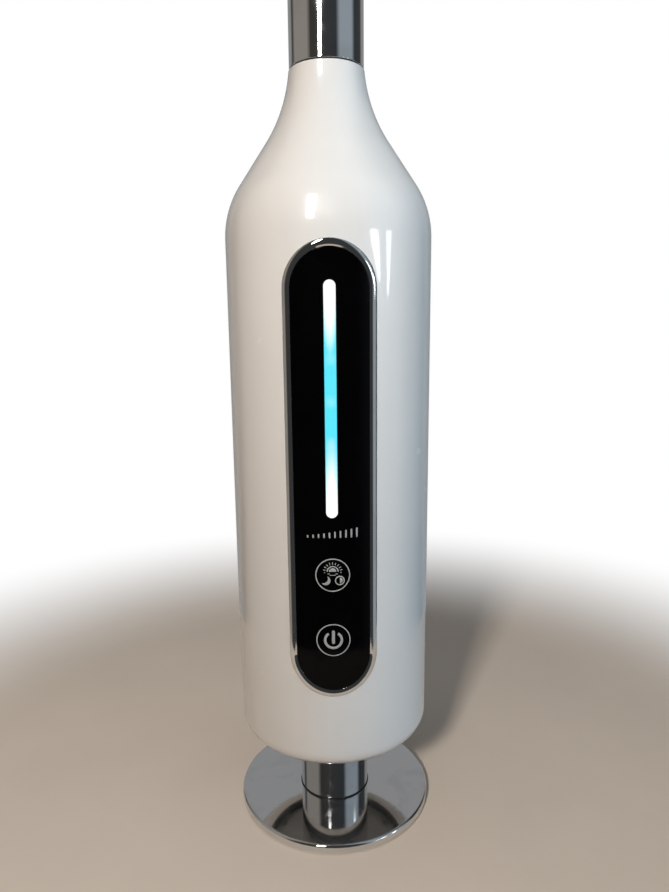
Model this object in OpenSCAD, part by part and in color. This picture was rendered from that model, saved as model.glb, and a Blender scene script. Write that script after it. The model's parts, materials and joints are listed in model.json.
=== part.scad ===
// Desk lamp: a bottle-shaped body with a touch panel, turning on a round foot, with a screw-in globe bulb.
// Millimetres, Z up. The origin is the centre of the foot's underside, and the panel faces -Y.

/* [Foot] */
// Radius of the round foot plate
foot_r = 51.8; // [50:0.1:70]
// Thickness of the foot plate
foot_t = 4; // [3.5:0.1:8]
// Radius of the rounding along the top edge of the plate
foot_edge = 1.6; // [0.5:0.1:3]
// Thickness of the felt pad under the plate
pad_t = 1; // [0.5:0.1:2]
// Distance from the rim of the plate to the edge of the pad
pad_inset = 2.5; // [1:0.1:6]
// Outer radius of the dark glide ring at the foot of the stem
ring_r = 19; // [18.7:0.1:24]
// Radial width of the glide ring
ring_w = 2.2; // [1.5:0.1:4]
// Height of the glide ring
ring_h = 0.4; // [0.4:0.1:4]
// Shank radius of the foot screws
foot_screw_r = 2.5; // [2:0.1:3]
// Distance of the foot screws from the axis
foot_screw_ring = 6; // [5.5:0.1:6.5]
// Length of the foot screws
foot_screw_len = 16; // [10:0.5:20]

/* [Stem and swivel] */
// Outer radius of the stem tube
stem_r = 18.6; // [17.8:0.1:20]
// Height from the foot plate to the underside of the body
stem_h = 39.6; // [34:0.1:60]
// Wall of the stem above the bush
stem_wall = 3.5; // [2.5:0.1:3.8]
// Wall of the stem around the bush
stem_skin = 1.5; // [1:0.1:2.2]
// Radial width of the flange at the top of the stem
stem_flange_w = 5.4; // [4:0.1:6]
// Thickness of the flange at the top of the stem
stem_flange_t = 2; // [1.5:0.1:4]
// Open seam between the glide ring and the stem
seam_gap = 0.3; // [0.3:0.1:0.8]
// Radius of the post that the lamp turns on
post_r = 10; // [9.2:0.1:11]
// Radius of the thread at the top of the post
post_thread_r = 8; // [6.5:0.1:8.5]
// Height of the swivel bush
bush_h = 18; // [14:0.1:20]
// Thickness of the spring washer that gives the swivel its friction
friction_t = 1.2; // [0.8:0.1:2]
// Thickness of the flat washer under the swivel nut
washer_t = 1.5; // [1:0.1:2]
// Outer radius of both swivel washers
washer_r = 13.5; // [12:0.1:13.8]
// Width across the flats of the swivel nut
swivel_nut_af = 24; // [20:0.1:24.5]
// Height of the swivel nut
swivel_nut_h = 6; // [5:0.1:8]
// How far the post runs past its nut
post_tail = 1; // [0.5:0.1:2]

/* [Body] */
// Outer radius of the body
body_r = 50; // [48.5:0.1:51.5]
// Wall of the body shell
body_wall = 2.5; // [2:0.1:3.2]
// Radius of the rounding along the bottom edge of the body
bottom_fillet = 9.7; // [6:0.1:11]
// Height of the straight side, from the underside to the shoulder
straight_h = 254.2; // [252:0.1:300]
// Radius of the rounded shoulder
shoulder_r = 43.2; // [36:0.1:45]
// Steepness of the shoulder's cone, measured from the upright
shoulder_slope = 33.8; // [29:0.1:40]
// Radius of the hollow sweep up to the neck
sweep_r = 71.8; // [66:0.1:78]
// Radius at which the sweep would stand upright
neck_r = 17.5; // [17.2:0.1:20]
// Distance from that upright point down to the neck's seam
neck_drop = 7.4; // [5:0.1:12]
// Thickness of the floor inside the neck
neck_floor_t = 4; // [3:0.1:8]
// Radius of the hole in the neck's floor
neck_hole_r = 13; // [12.2:0.1:13.5]

/* [Bottom and ballast] */
// Depth of the recess in the underside of the body, up to the bottom plate
bottom_recess = 5; // [3:0.1:6]
// Thickness of the bottom plate
bottom_t = 2.5; // [2:0.1:4]
// Thickness of the lip inside the body that the bottom plate is screwed to
lip_t = 3; // [2.5:0.1:6]
// Radial width of that lip
lip_w = 6; // [6:0.1:6.6]
// Radial width of the solid ring around the bottom plate
lip_root = 3; // [2:0.1:4]
// Radius of the ballast weight
ballast_r = 31; // [30.5:0.1:31.5]
// Height of the ballast weight
ballast_h = 33; // [26:0.1:34]
// Shank radius of the ballast screws
ballast_screw_r = 2.5; // [2:0.1:2.6]
// Length of the ballast screws
ballast_screw_len = 14; // [10:0.5:20]
// Shank radius of the screws in the lip
lip_screw_r = 1.3; // [1.1:0.1:1.4]
// Length of the screws in the lip
lip_screw_len = 4.8; // [4:0.1:5]

/* [Touch panel] */
// Width of the bezel
bezel_w = 41.4; // [39:0.1:44]
// Distance from the shoulder down to the top of the bezel
bezel_drop = 4.2; // [2.5:0.1:8]
// Height of the bezel's foot above the underside of the body
bezel_rise = 40.4; // [38:0.1:48]
// Width of the bezel's band
bezel_band = 3.4; // [2.8:0.1:4.5]
// How far the bezel stands proud of the body
bezel_proud = 1; // [0.6:0.1:1.6]
// How far the bezel overlaps the edge of the window
bezel_lip = 1.2; // [0.6:0.1:1.6]
// Thickness of the touch glass
glass_t = 2; // [1.5:0.1:3]
// How far the glass lies below the face of the bezel
glass_sink = 0.5; // [0.2:0.1:1]
// Depth from the face of the body to the flat back of the bezel
panel_depth = 8; // [7:0.1:9]
// Width of the frame that carries the glass
carrier_band = 4; // [3.6:0.1:5]
// Thickness of the flange of that frame
carrier_t = 2; // [1.5:0.1:3]
// Width of the lit slider
slider_w = 5.2; // [3:0.1:8]
// Distance from the top of the bezel down to the slider
slider_drop = 17.25; // [16:0.05:40]
// Height of the slider's lower end above the foot of the bezel
slider_rise = 87.85; // [80:0.05:110]
// Height of the mode ring above the foot of the bezel
mode_rise = 60.7; // [56:0.1:66]
// Height of the power ring above the foot of the bezel
power_rise = 28.8; // [26:0.1:38]
// Radius of the touch pads behind the two rings
touch_pad_r = 6; // [4:0.1:8]
// Thickness of the circuit boards
board_t = 1.6; // [1:0.1:2]
// Distance from the edge of the flange in to the touch board
touch_board_inset = 2; // [1:0.1:3]
// Spacing of the LEDs behind the slider
led_pitch = 18.4; // [8:0.1:24]
// Length of one LED
led_l = 3.5; // [2:0.1:5]
// Width of one LED
led_w = 2.8; // [1.6:0.1:3]
// Height of one LED
led_t = 0.8; // [0.5:0.1:1]
// Width of a panel clip, measured out from the flange
clip_w = 3.6; // [2.5:0.1:4]
// Height of a panel clip
clip_h = 9; // [6:0.1:14]
// Distance of the clips and board screws above and below the middle of the bezel
clip_rise = 62; // [45:0.1:70]
// Shank radius of the small electronics screws
small_screw_r = 1.2; // [1:0.1:1.3]

/* [Driver] */
// Width of the chassis bracket
chassis_w = 46; // [44:0.1:48]
// Height of the chassis bracket
chassis_h = 114; // [110:0.1:125]
// Thickness of the chassis bracket
chassis_t = 1.5; // [1:0.1:2.5]
// Depth of the foot of the bracket
chassis_foot = 13; // [11:0.1:14]
// Distance from the lamp's axis to the bracket
chassis_y = 11.5; // [10.5:0.1:13]
// Width of the bracket's upright sides and of its top and bottom bars
chassis_side = 7; // [6.5:0.1:8]
// Distance from the side of the bracket in to its screws
chassis_screw_inset = 9; // [8:0.1:10]
// Shank radius of the chassis screws
chassis_screw_r = 2; // [1.5:0.1:2.2]
// Length of the chassis screws
chassis_screw_len = 9; // [6:0.5:12]
// Height of the driver board above the foot of the bracket
driver_rise = 5; // [4.5:0.1:6]
// Distance from the top of the bracket down to the driver board
driver_drop = 2; // [1:0.1:4]
// Distance from the side of the bracket in to the driver board
driver_inset = 0.5; // [0.3:0.1:1.5]
// Free height between the pieces on the driver board
part_gap = 5; // [3:0.1:6]
// Distance from the side of the driver board to the pieces along it
edge_gap = 3; // [2:0.1:4]
// Length of the spacers under the driver board
spacer_len = 6; // [5:0.1:8]
// Radius of the spacers
spacer_r = 2.6; // [2.2:0.1:3]
// Length of the board screws
board_screw_len = 9; // [8.5:0.1:9.4]
// Width of the transformer core
core_w = 24; // [20:0.1:26]
// Height of the transformer core
core_h = 20; // [18:0.1:22]
// Thickness of the transformer core
core_t = 7; // [5:0.1:8]
// Width of the legs and yokes of the core
core_leg = 4; // [3:0.1:4.4]
// Thickness of the transformer coil
coil_t = 14; // [12:0.1:15]
// Radius of a capacitor
cap_r = 5; // [4:0.1:5.5]
// Height of a capacitor
cap_h = 14; // [10:0.1:16]
// Gap between the two capacitors
cap_gap = 2; // [1:0.1:4]
// Width of the heat sink
sink_w = 16; // [12:0.1:18]
// Height of the heat sink
sink_h = 24; // [18:0.1:28]
// Depth of the heat sink
sink_d = 11; // [9:0.1:13]
// Number of fins on the heat sink
sink_fins = 5; // [3:1:6]
// Width of the triac
triac_w = 4.5; // [3.5:0.1:5.5]
// Height of the triac
triac_h = 10; // [8:0.1:14]
// Depth of the triac
triac_d = 9; // [6:0.1:9]
// Width of a terminal block
terminal_w = 18; // [16:0.1:22]
// Height of a terminal block
terminal_h = 9; // [8:0.1:10]
// Depth of a terminal block
terminal_d = 10; // [9:0.1:12]
// Radius of the holes in a terminal block
terminal_hole_r = 1.8; // [1.2:0.1:2.2]
// Depth of those holes
terminal_hole_depth = 3; // [2:0.1:5]
// Height of the lower terminal block above the foot of the driver board
terminal_rise = 8; // [7:0.1:9]
// Distance from the upper terminal block to the top of the driver board
terminal_drop = 5; // [4:0.1:6]
// Width of the ribbon cable
ribbon_w = 8; // [6:0.1:8.5]
// Thickness of the ribbon cable
ribbon_t = 0.8; // [0.5:0.1:1.2]
// How far the ribbon cable sags
ribbon_sag = 9; // [6:0.1:14]
// Gap between the tie tube and the ribbon cable
ribbon_gap = 2; // [1:0.1:4]
// Radius of a lead to the lampholder
lead_r = 1.1; // [0.8:0.1:1.2]

/* [Neck and lampholder] */
// Thickness of the dark gasket in the neck's seam
gasket_t = 0.8; // [0.5:0.1:1.5]
// How far the gasket lies back from the collar's face
gasket_sink = 0.3; // [0.1:0.1:0.6]
// How far the collar lies back from the neck's face
collar_step = 0.3; // [0.1:0.1:0.5]
// Height of the collar
collar_h = 36; // [36:0.1:45]
// Wall of the collar
collar_wall = 1.2; // [0.8:0.1:1.3]
// Outer radius of the tie tube
tie_r = 5; // [4.5:0.1:5.2]
// Bore radius of the tie tube
tie_bore_r = 3.5; // [2.5:0.1:3.8]
// Width across the flats of the nuts on the tie tube
tie_nut_af = 14; // [13:0.1:14.5]
// Height of the nuts on the tie tube
tie_nut_h = 4; // [3:0.1:5]
// Height of the tie tube's lower end above the stem's flange
tie_lift = 2; // [1:0.1:4]
// Room around the lowest nut in the ballast
tie_pocket_gap = 1; // [0.5:0.1:2]
// Thickness of the steel plate in the neck
neck_plate_t = 2.5; // [1.5:0.1:4]
// Thickness of the cap under the holder's insert
holder_cap_t = 3; // [2:0.1:4]
// Thickness of the floor of the holder's insert
insert_floor_t = 3; // [2.5:0.1:4]
// Shank radius of the insert's screws
insert_screw_r = 1.5; // [1.2:0.1:1.8]
// Distance of the insert's screws from the axis
insert_screw_ring = 9.9; // [9.5:0.1:10]
// Head radius of the insert's screws
insert_head_r = 2.6; // [2.2:0.1:2.8]
// Head height of the insert's screws
insert_head_h = 1.4; // [1:0.1:1.5]
// Wall of the holder's screw shell
shell_wall = 0.6; // [0.4:0.1:0.6]
// Height of the centre contact's tongue
contact_h = 1.6; // [1.4:0.1:2.5]
// Width of the centre contact's tongue
contact_w = 5; // [3:0.1:6]
// Thickness of the tongue
tongue_t = 0.6; // [0.4:0.1:0.8]
// Reach of the tongue behind the axis
tongue_back = 8; // [7:0.1:9]
// Reach of the tongue in front of the axis
tongue_front = 3; // [2:0.1:3.5]
// Height of the rim on top of the holder
rim_h = 3; // [2:0.1:5]

/* [Cord inlet] */
// Height of the cord inlet above the underside of the body
gland_rise = 22; // [20:0.1:30]
// Bore radius of the cord gland
gland_bore_r = 3.5; // [3:0.1:4]
// Radius of the gland's sleeve
gland_r = 6; // [5:0.1:6.5]
// Radius of the gland's flange
gland_flange_r = 8.5; // [8:0.1:10]
// Thickness of the gland's flange
gland_flange_t = 1.6; // [1.2:0.1:1.7]
// Width across the flats of the gland's nut
gland_nut_af = 17; // [15:0.1:18]
// Height of the gland's nut
gland_nut_h = 5; // [3:0.1:6]
// How far the gland's sleeve runs past its nut
gland_tail = 2; // [1:0.1:4]

/* [Bulb] */
// Crest radius of the bulb's screw cap
thread_r = 13.1; // [12.9:0.1:13.2]
// Pitch of the screw cap's rings
thread_pitch = 3.63; // [3.4:0.01:3.8]
// Number of rings on the screw cap
thread_turns = 4; // [3:1:4]
// Depth of the thread
thread_depth = 0.9; // [0.7:0.1:1]
// Radius of the rounded crests
crest_r = 1.1; // [1:0.1:1.2]
// Wall of the screw cap
cap_wall = 0.6; // [0.4:0.1:0.8]
// Height of the screw cap
cap_len = 19; // [18:0.1:21]
// Height of the glass insulator under the screw cap
insulator_h = 3; // [2:0.1:4]
// Radius of the contact tip
tip_r = 4.6; // [3.5:0.1:5]
// Height of the contact tip
tip_h = 1.2; // [0.8:0.1:2]
// How far the insulator stands out around the contact tip
tip_margin = 1; // [0.5:0.1:2]
// Height of the bulb's skirt above the screw cap
skirt_h = 21; // [18:0.1:28]
// Top radius of the bulb's skirt
skirt_r = 21; // [19:0.1:23]
// Wall of the bulb's skirt
skirt_wall = 1.8; // [1.2:0.1:2.5]
// Height of the straight neck of the skirt above the lampholder
skirt_neck = 0.6; // [0.3:0.1:1.5]
// Height of the straight band at the top of the skirt
skirt_band = 4; // [3:0.1:6]
// Length of the skirt's spigot in the screw cap
spigot_h = 6; // [4:0.1:8]
// Radius of the opal globe
globe_r = 47.5; // [40:0.1:50]
// Wall of the opal globe
globe_wall = 1.2; // [0.8:0.1:2]
// Thickness of the plate that carries the bulb's LEDs
led_plate_t = 1.4; // [1:0.1:2]
// Distance from the globe's inside to that plate
led_plate_gap = 1; // [0.5:0.1:2]
// Distance of the bulb's LEDs from the axis
bulb_led_ring = 13; // [10:0.1:14]
// Number of LEDs in the bulb
bulb_led_count = 8; // [4:1:12]

/* [Clearances] */
// Clearance around pieces that are fitted together
fit_gap = 0.1; // [0.05:0.01:0.15]
// Radial clearance of the post in its bush
run_gap = 0.05; // [0.02:0.01:0.08]
// Clearance around the bulb in its holder
bulb_gap = 0.3; // [0.3:0.1:0.4]

/* [Hidden] */
$fn = 96;
// A cut runs past the faces that it opens by this much
past = 1;
// The rounded shoulder and the sweep reach past the cone between them by this much, for clean edges
blend = 0.01;
// Head radius of a countersunk screw, as a share of its shank radius
countersink = 1.9;
// Head radius and head height of a pan-head screw, as shares of its shank radius
pan_head = 1.75;
pan_height = 1.15;
// Width across flats and depth of the hexagon socket in a screw's head, as shares of its shank radius
socket_af = 1.2;
socket_depth = 0.8;
// A blind screw hole is deeper than its screw by this much
screw_room = 1;

// Heights in the foot and the swivel, from the table up
plate_top = pad_t + foot_t;
ring_top = plate_top + ring_h;
stem_bottom = ring_top + seam_gap;
bush_top = ring_top + bush_h;
swivel_nut_z = bush_top + friction_t + washer_t;
post_top = swivel_nut_z + swivel_nut_h + post_tail;
stem_bush_r = stem_r - stem_skin;
stem_bore_r = stem_r - stem_wall;
foot_head_r = foot_screw_r * countersink;
foot_head_h = foot_head_r - foot_screw_r;

// Heights and radii of the body
body_z = plate_top + stem_h;
inner_r = body_r - body_wall;
shoulder_z = body_z + straight_h;
cone_len = (body_r - shoulder_r + shoulder_r * cos(shoulder_slope) - neck_r - sweep_r
    + sweep_r * cos(shoulder_slope)) / sin(shoulder_slope);
cone_low_z = shoulder_z + shoulder_r * sin(shoulder_slope);
cone_high_z = cone_low_z + cone_len * cos(shoulder_slope);
neck_upright_z = cone_high_z + sweep_r * sin(shoulder_slope);
neck_z = neck_upright_z - neck_drop;
neck_face_r = neck_r + sweep_r - sqrt(sweep_r * sweep_r - neck_drop * neck_drop);

// The bottom plate, the lip that it is screwed to and the ballast on it
bottom_z = body_z + bottom_recess;
bottom_top = bottom_z + bottom_t;
lip_top = bottom_top + lip_t;
lip_r = ballast_r + 5 * fit_gap;
bottom_r = lip_r + lip_w;
lip_screw_ring = lip_r + lip_w / 2;
stem_flange_r = stem_r + stem_flange_w;
ballast_screw_ring = (stem_flange_r + ballast_r) / 2;
ballast_top = bottom_top + ballast_h;
tie_pocket_r = tie_nut_af / 2 / cos(30) + tie_pocket_gap;
tie_bottom = bottom_top + stem_flange_t + tie_lift;
tie_pocket_top = tie_bottom + tie_nut_h;
lip_head_r = lip_screw_r * countersink;
lip_head_h = lip_head_r - lip_screw_r;
ballast_head_r = ballast_screw_r * countersink;
ballast_head_h = ballast_head_r - ballast_screw_r;

// The touch panel, as radii from the lamp's axis, widths of outlines and depths along Y
bezel_h = straight_h - bezel_drop - bezel_rise;
bezel_z = body_z + bezel_rise;
panel_z = bezel_z + bezel_h / 2;
slider_h = bezel_h - slider_drop - slider_rise;
slider_z = bezel_z + slider_rise + slider_h / 2;
bezel_face_r = body_r + bezel_proud;
bezel_side = bezel_h - bezel_w;
window_w = bezel_w - 2 * bezel_lip;
skirt_w = window_w - 2 * fit_gap;
opening_w = bezel_w - 2 * bezel_band;
glass_w = opening_w - 2 * fit_gap;
glass_r = bezel_face_r - glass_sink;
glass_back_r = glass_r - glass_t;
pocket_w = opening_w - 2 * carrier_band;
touch_board_w = skirt_w - 2 * touch_board_inset;
panel_back_y = body_r - panel_depth;
board_front_y = panel_back_y - carrier_t;
board_back_y = board_front_y - board_t;
panel_screw_x = (skirt_w + pocket_w) / 4;
small_head_r = small_screw_r * pan_head;
small_head_h = small_screw_r * pan_height;
led_count = floor((slider_h - led_l) / led_pitch) + 1;
clip_x = skirt_w / 2;
clip_front_y = sqrt(pow(inner_r - bulb_gap, 2) - pow(clip_x + clip_w, 2));

// The driver on its bracket
spacer_y = chassis_y + chassis_t;
driver_front_y = spacer_y + spacer_len;
driver_back_y = driver_front_y + board_t;
driver_z = ballast_top + chassis_t + driver_rise;
driver_h = chassis_h - chassis_t - driver_rise - driver_drop;
driver_w = chassis_w - 2 * driver_inset;
spacer_x = chassis_w / 2 - chassis_side / 2;
spacer_low_z = driver_z + chassis_side / 2;
spacer_high_z = driver_z + driver_h - chassis_side / 2;
chassis_screw_x = chassis_w / 2 - chassis_screw_inset;
chassis_head_r = chassis_screw_r * pan_head;
chassis_head_h = chassis_screw_r * pan_height;
chassis_screw_y = chassis_y + chassis_foot - chassis_head_r - past;
low_terminal_z = driver_z + terminal_rise;
transformer_z = low_terminal_z + terminal_h + part_gap + core_h / 2;
sink_z = transformer_z + core_h / 2 + part_gap + sink_h / 2;
high_terminal_z = driver_z + driver_h - terminal_h - terminal_drop;
coil_w = core_w - 2 * core_leg - 2 * fit_gap;
coil_h = core_h - 2 * core_leg - 2 * fit_gap;
coil_y = driver_back_y + coil_t / 2;
ribbon_x = tie_r + ribbon_gap + ribbon_w / 2;
ribbon_z = transformer_z + core_h;
ribbon_span = board_back_y + driver_front_y;
ribbon_arc_r = (ribbon_span * ribbon_span / 4 + ribbon_sag * ribbon_sag) / (2 * ribbon_sag);

// Heights in the neck and the lampholder
collar_z = neck_z + gasket_t;
collar_r = neck_face_r - collar_step;
collar_bore_r = collar_r - collar_wall;
neck_nut_z = collar_z + neck_plate_t;
holder_cap_z = neck_nut_z + tie_nut_h;
insert_z = holder_cap_z + holder_cap_t;
socket_z = insert_z + insert_floor_t;
rim_z = collar_z + collar_h;
rim_top = rim_z + rim_h;
holder_r = collar_bore_r - fit_gap;
shell_bore_r = thread_r + bulb_gap;
crest_sink = crest_r - thread_depth;
shell_crest_r = shell_bore_r + shell_wall - crest_sink + crest_r;
insert_bore_r = shell_crest_r + fit_gap;
rim_bore_r = thread_r + 2 * bulb_gap;
lead_ring = (tie_nut_af / 2 / cos(30) + neck_hole_r) / 2;
lead_hole_r = lead_r + 3 * fit_gap;

// The cord inlet in the back of the body
gland_z = body_z + gland_rise;
gland_nut_corner = gland_nut_af / 2 / cos(30);
gland_nut_y = sqrt(inner_r * inner_r - gland_nut_corner * gland_nut_corner) - fit_gap;
gland_end_y = gland_nut_y - gland_nut_h - gland_tail;
gland_hole_r = gland_r + fit_gap;

// The bulb, from its contact tip up
tip_z = socket_z + contact_h + bulb_gap;
insulator_z = tip_z + tip_h;
cap_z = insulator_z + insulator_h;
cap_top = cap_z + cap_len;
cap_root_r = thread_r - thread_depth;
cap_bore_r = cap_root_r - cap_wall;
skirt_foot_r = thread_r;
skirt_top = cap_top + skirt_h;
skirt_flare_z = rim_top + bulb_gap + skirt_neck;
globe_z = skirt_top + sqrt(globe_r * globe_r - skirt_r * skirt_r);
led_plate_r = sqrt(pow(globe_r - globe_wall, 2) - globe_r * globe_r + skirt_r * skirt_r) - led_plate_gap;

// Shared shapes

// A tube or, with no bore, a disc that stands on height z
module tube(r, bore, z, h) {
    translate([0, 0, z]) difference() {
        cylinder(r = r, h = h);
        if (bore > 0) translate([0, 0, -past]) cylinder(r = bore, h = h + 2 * past);
    }
}

// A hexagon nut on a bore, standing on height z
module hex_nut(af, bore, z, h) {
    translate([0, 0, z]) difference() {
        cylinder(r = af / 2 / cos(30), h = h, $fn = 6);
        translate([0, 0, -past]) cylinder(r = bore, h = h + 2 * past);
    }
}

// Copies around the Z axis, at a distance from it
module around(count, ring, turn = 0) {
    for (i = [0:count - 1]) rotate(turn + i * 360 / count) translate([ring, 0, 0]) children();
}

// Outside of a countersunk screw that points up from z = 0, or with a gap the hole for it
module countersink_room(r, head_r, head_h, len, gap = 0) {
    cylinder(r1 = head_r + gap, r2 = r + gap, h = head_h);
    cylinder(r = r + gap, h = len + gap);
}

// Hexagon socket that goes up from z = 0 into the head of a screw
module hex_socket(r) {
    translate([0, 0, -past])
        cylinder(r = r * socket_af / 2 / cos(30), h = r * socket_depth + past, $fn = 6);
}

// A countersunk screw that points up from z = 0
module countersunk(r, head_r, head_h, len) {
    difference() {
        countersink_room(r, head_r, head_h, len);
        hex_socket(r);
    }
}

// A pan-head screw whose head lies on z = 0 and whose shank points down
module pan_screw(r, head_r, head_h, len) {
    difference() {
        union() {
            cylinder(r = head_r, h = head_h);
            translate([0, 0, -len]) cylinder(r = r, h = len);
        }
        translate([0, 0, head_h]) mirror([0, 0, 1]) hex_socket(r);
    }
}

// Copies at the four screws of the touch board, from depth y towards the front
module at_panel_screws(y) {
    for (x = [-1, 1], z = [-1, 1]) translate([x * panel_screw_x, -y, panel_z + z * clip_rise])
        rotate([90, 0, 0]) children();
}

// Copies at the four screws of the driver board, from depth y towards the back
module at_board_screws(y) {
    for (x = [-1, 1], z = [spacer_low_z, spacer_high_z]) translate([x * spacer_x, y, z])
        rotate([-90, 0, 0]) children();
}

// Copies at the two screws of the chassis, from height z up
module at_chassis_screws(z) {
    for (x = [-1, 1]) translate([x * chassis_screw_x, chassis_screw_y, z]) children();
}

// An outline with straight sides and round ends
module obround(w, h) {
    square([w, h - w], center = true);
    for (side = [-1, 1]) translate([0, side * (h - w) / 2]) circle(d = w);
}

// An obround bar that runs from depth y towards the front, around height z
module front_bar(w, h, z, y, len) {
    translate([0, -y, z]) rotate([90, 0, 0]) linear_extrude(len) obround(w, h);
}

// The same bar with its front rounded to a radius about the lamp's axis
module front_slab(w, h, z, y, r) {
    intersection() {
        front_bar(w, h, z, y, r);
        translate([0, 0, body_z]) cylinder(r = r, h = straight_h);
    }
}

// Half outline of the bottle, set in by a wall: rounded bottom edge, straight side, shoulder, cone and sweep
module bottle(wall) {
    fillet = bottom_fillet - wall;
    upright = [body_r - shoulder_r, shoulder_z];
    hollow = [neck_r + sweep_r, neck_upright_z];
    outward = [cos(shoulder_slope), sin(shoulder_slope)];
    low = upright + (shoulder_r - wall - blend) * outward;
    high = hollow - (sweep_r + wall + blend) * outward;
    translate([0, body_z + wall]) square([body_r - bottom_fillet, fillet]);
    intersection() {
        translate([body_r - bottom_fillet, body_z + bottom_fillet]) circle(r = fillet);
        translate([body_r - bottom_fillet, body_z + wall]) square([fillet, fillet]);
    }
    translate([0, body_z + bottom_fillet]) square([body_r - wall, straight_h - bottom_fillet]);
    intersection() {
        translate(upright) circle(r = shoulder_r - wall);
        translate([0, shoulder_z]) square([body_r, shoulder_r]);
    }
    difference() {
        polygon([[0, low.y], low, high, [neck_r + sweep_r / 3, neck_z], [0, neck_z]]);
        translate(hollow) circle(r = sweep_r + wall + 2 * blend);
    }
}

// Foot

// Felt disc that the lamp stands on
module foot_pad() {
    color("dimgray") tube(foot_r - pad_inset, 0, 0, pad_t);
}

// Mirror-polished foot plate with a rounded top edge and three countersunk holes
module foot_plate() {
    color("silver") difference() {
        rotate_extrude() {
            translate([0, pad_t]) square([foot_r - foot_edge, foot_t]);
            translate([foot_r - foot_edge, pad_t]) square([foot_edge, foot_t - foot_edge]);
            intersection() {
                translate([foot_r - foot_edge, plate_top - foot_edge]) circle(r = foot_edge);
                translate([foot_r - foot_edge, plate_top - foot_edge]) square(foot_edge);
            }
        }
        around(3, foot_screw_ring) translate([0, 0, pad_t])
            countersink_room(foot_screw_r, foot_head_r, foot_head_h, foot_t + past, fit_gap);
    }
}

// Screws that hold the spigot down on the plate
module foot_screws() {
    color("gray") around(3, foot_screw_ring) translate([0, 0, pad_t])
        countersunk(foot_screw_r, foot_head_r, foot_head_h, foot_screw_len);
}

// Dark ring that the stem glides over, around the flange of the spigot
module stem_ring() {
    color("black") tube(ring_r, ring_r - ring_w, plate_top, ring_h);
}

// Turned steel post that the lamp turns on, with a flange below and a thread on top
module swivel_spigot() {
    color("slategray") difference() {
        rotate_extrude() {
            translate([0, plate_top]) square([ring_r - ring_w - fit_gap, ring_h]);
            translate([0, ring_top]) square([post_r, bush_h - 2 * fit_gap]);
            translate([0, ring_top]) square([post_thread_r, post_top - ring_top]);
        }
        around(3, foot_screw_ring) translate([0, 0, plate_top - past])
            cylinder(r = foot_screw_r + fit_gap, h = foot_screw_len - foot_t + past + screw_room);
    }
}

// Spring washer that presses on the bush
module friction_washer() {
    color("darkgoldenrod") tube(washer_r, post_thread_r + fit_gap, bush_top, friction_t);
}

// Flat washer between the spring washer and the nut
module swivel_washer() {
    color("lightgray") tube(washer_r, post_thread_r + fit_gap, bush_top + friction_t, washer_t);
}

// Nut that keeps the lamp on its post
module swivel_nut() {
    color("darkgray") hex_nut(swivel_nut_af, post_thread_r + fit_gap, swivel_nut_z, swivel_nut_h);
}

// Stem and bottom of the body

// Chrome stem with a seat for the bush below and a flange above
module stem_tube() {
    color("silver") rotate_extrude() {
        translate([stem_bush_r, stem_bottom]) square([stem_skin, bush_top - stem_bottom]);
        translate([stem_bore_r, bush_top]) square([stem_wall, bottom_top - bush_top]);
        translate([stem_bore_r, bottom_top]) square([stem_flange_r - stem_bore_r, stem_flange_t]);
    }
}

// Bush that runs on the post and rests on the spigot's flange
module swivel_bush() {
    color("ivory") tube(stem_bush_r - fit_gap, post_r + run_gap, ring_top, bush_h);
}

// Recessed plate that closes the body from below and carries the stem's flange
module bottom_plate() {
    color("darkslategray") difference() {
        tube(bottom_r, stem_r + fit_gap, bottom_z, bottom_t);
        around(3, lip_screw_ring, 30) translate([0, 0, bottom_z])
            countersink_room(lip_screw_r, lip_head_r, lip_head_h, bottom_t + past, fit_gap);
        around(3, ballast_screw_ring, 90) translate([0, 0, bottom_z])
            countersink_room(ballast_screw_r, ballast_head_r, ballast_head_h, bottom_t + past, fit_gap);
    }
}

// Screws from the bottom plate into the lip of the body
module bottom_screws() {
    color("gray") around(3, lip_screw_ring, 30) translate([0, 0, bottom_z])
        countersunk(lip_screw_r, lip_head_r, lip_head_h, lip_screw_len);
}

// Cast weight that clamps the stem's flange and holds the tie tube
module ballast_weight() {
    color("dimgray") difference() {
        tube(ballast_r, tie_r + fit_gap, bottom_top, ballast_h);
        tube(stem_flange_r + fit_gap, 0, bottom_top - past, stem_flange_t + past);
        tube(tie_pocket_r, 0, bottom_top, tie_pocket_top - bottom_top);
        around(3, ballast_screw_ring, 90) translate([0, 0, bottom_top - past])
            cylinder(r = ballast_screw_r + fit_gap, h = ballast_screw_len - bottom_t + past + screw_room);
        at_chassis_screws(ballast_top - chassis_screw_len)
            cylinder(r = chassis_screw_r + fit_gap, h = chassis_screw_len + past);
    }
}

// Screws from the bottom plate into the ballast
module ballast_screws() {
    color("gray") around(3, ballast_screw_ring, 90) translate([0, 0, bottom_z])
        countersunk(ballast_screw_r, ballast_head_r, ballast_head_h, ballast_screw_len);
}

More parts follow.
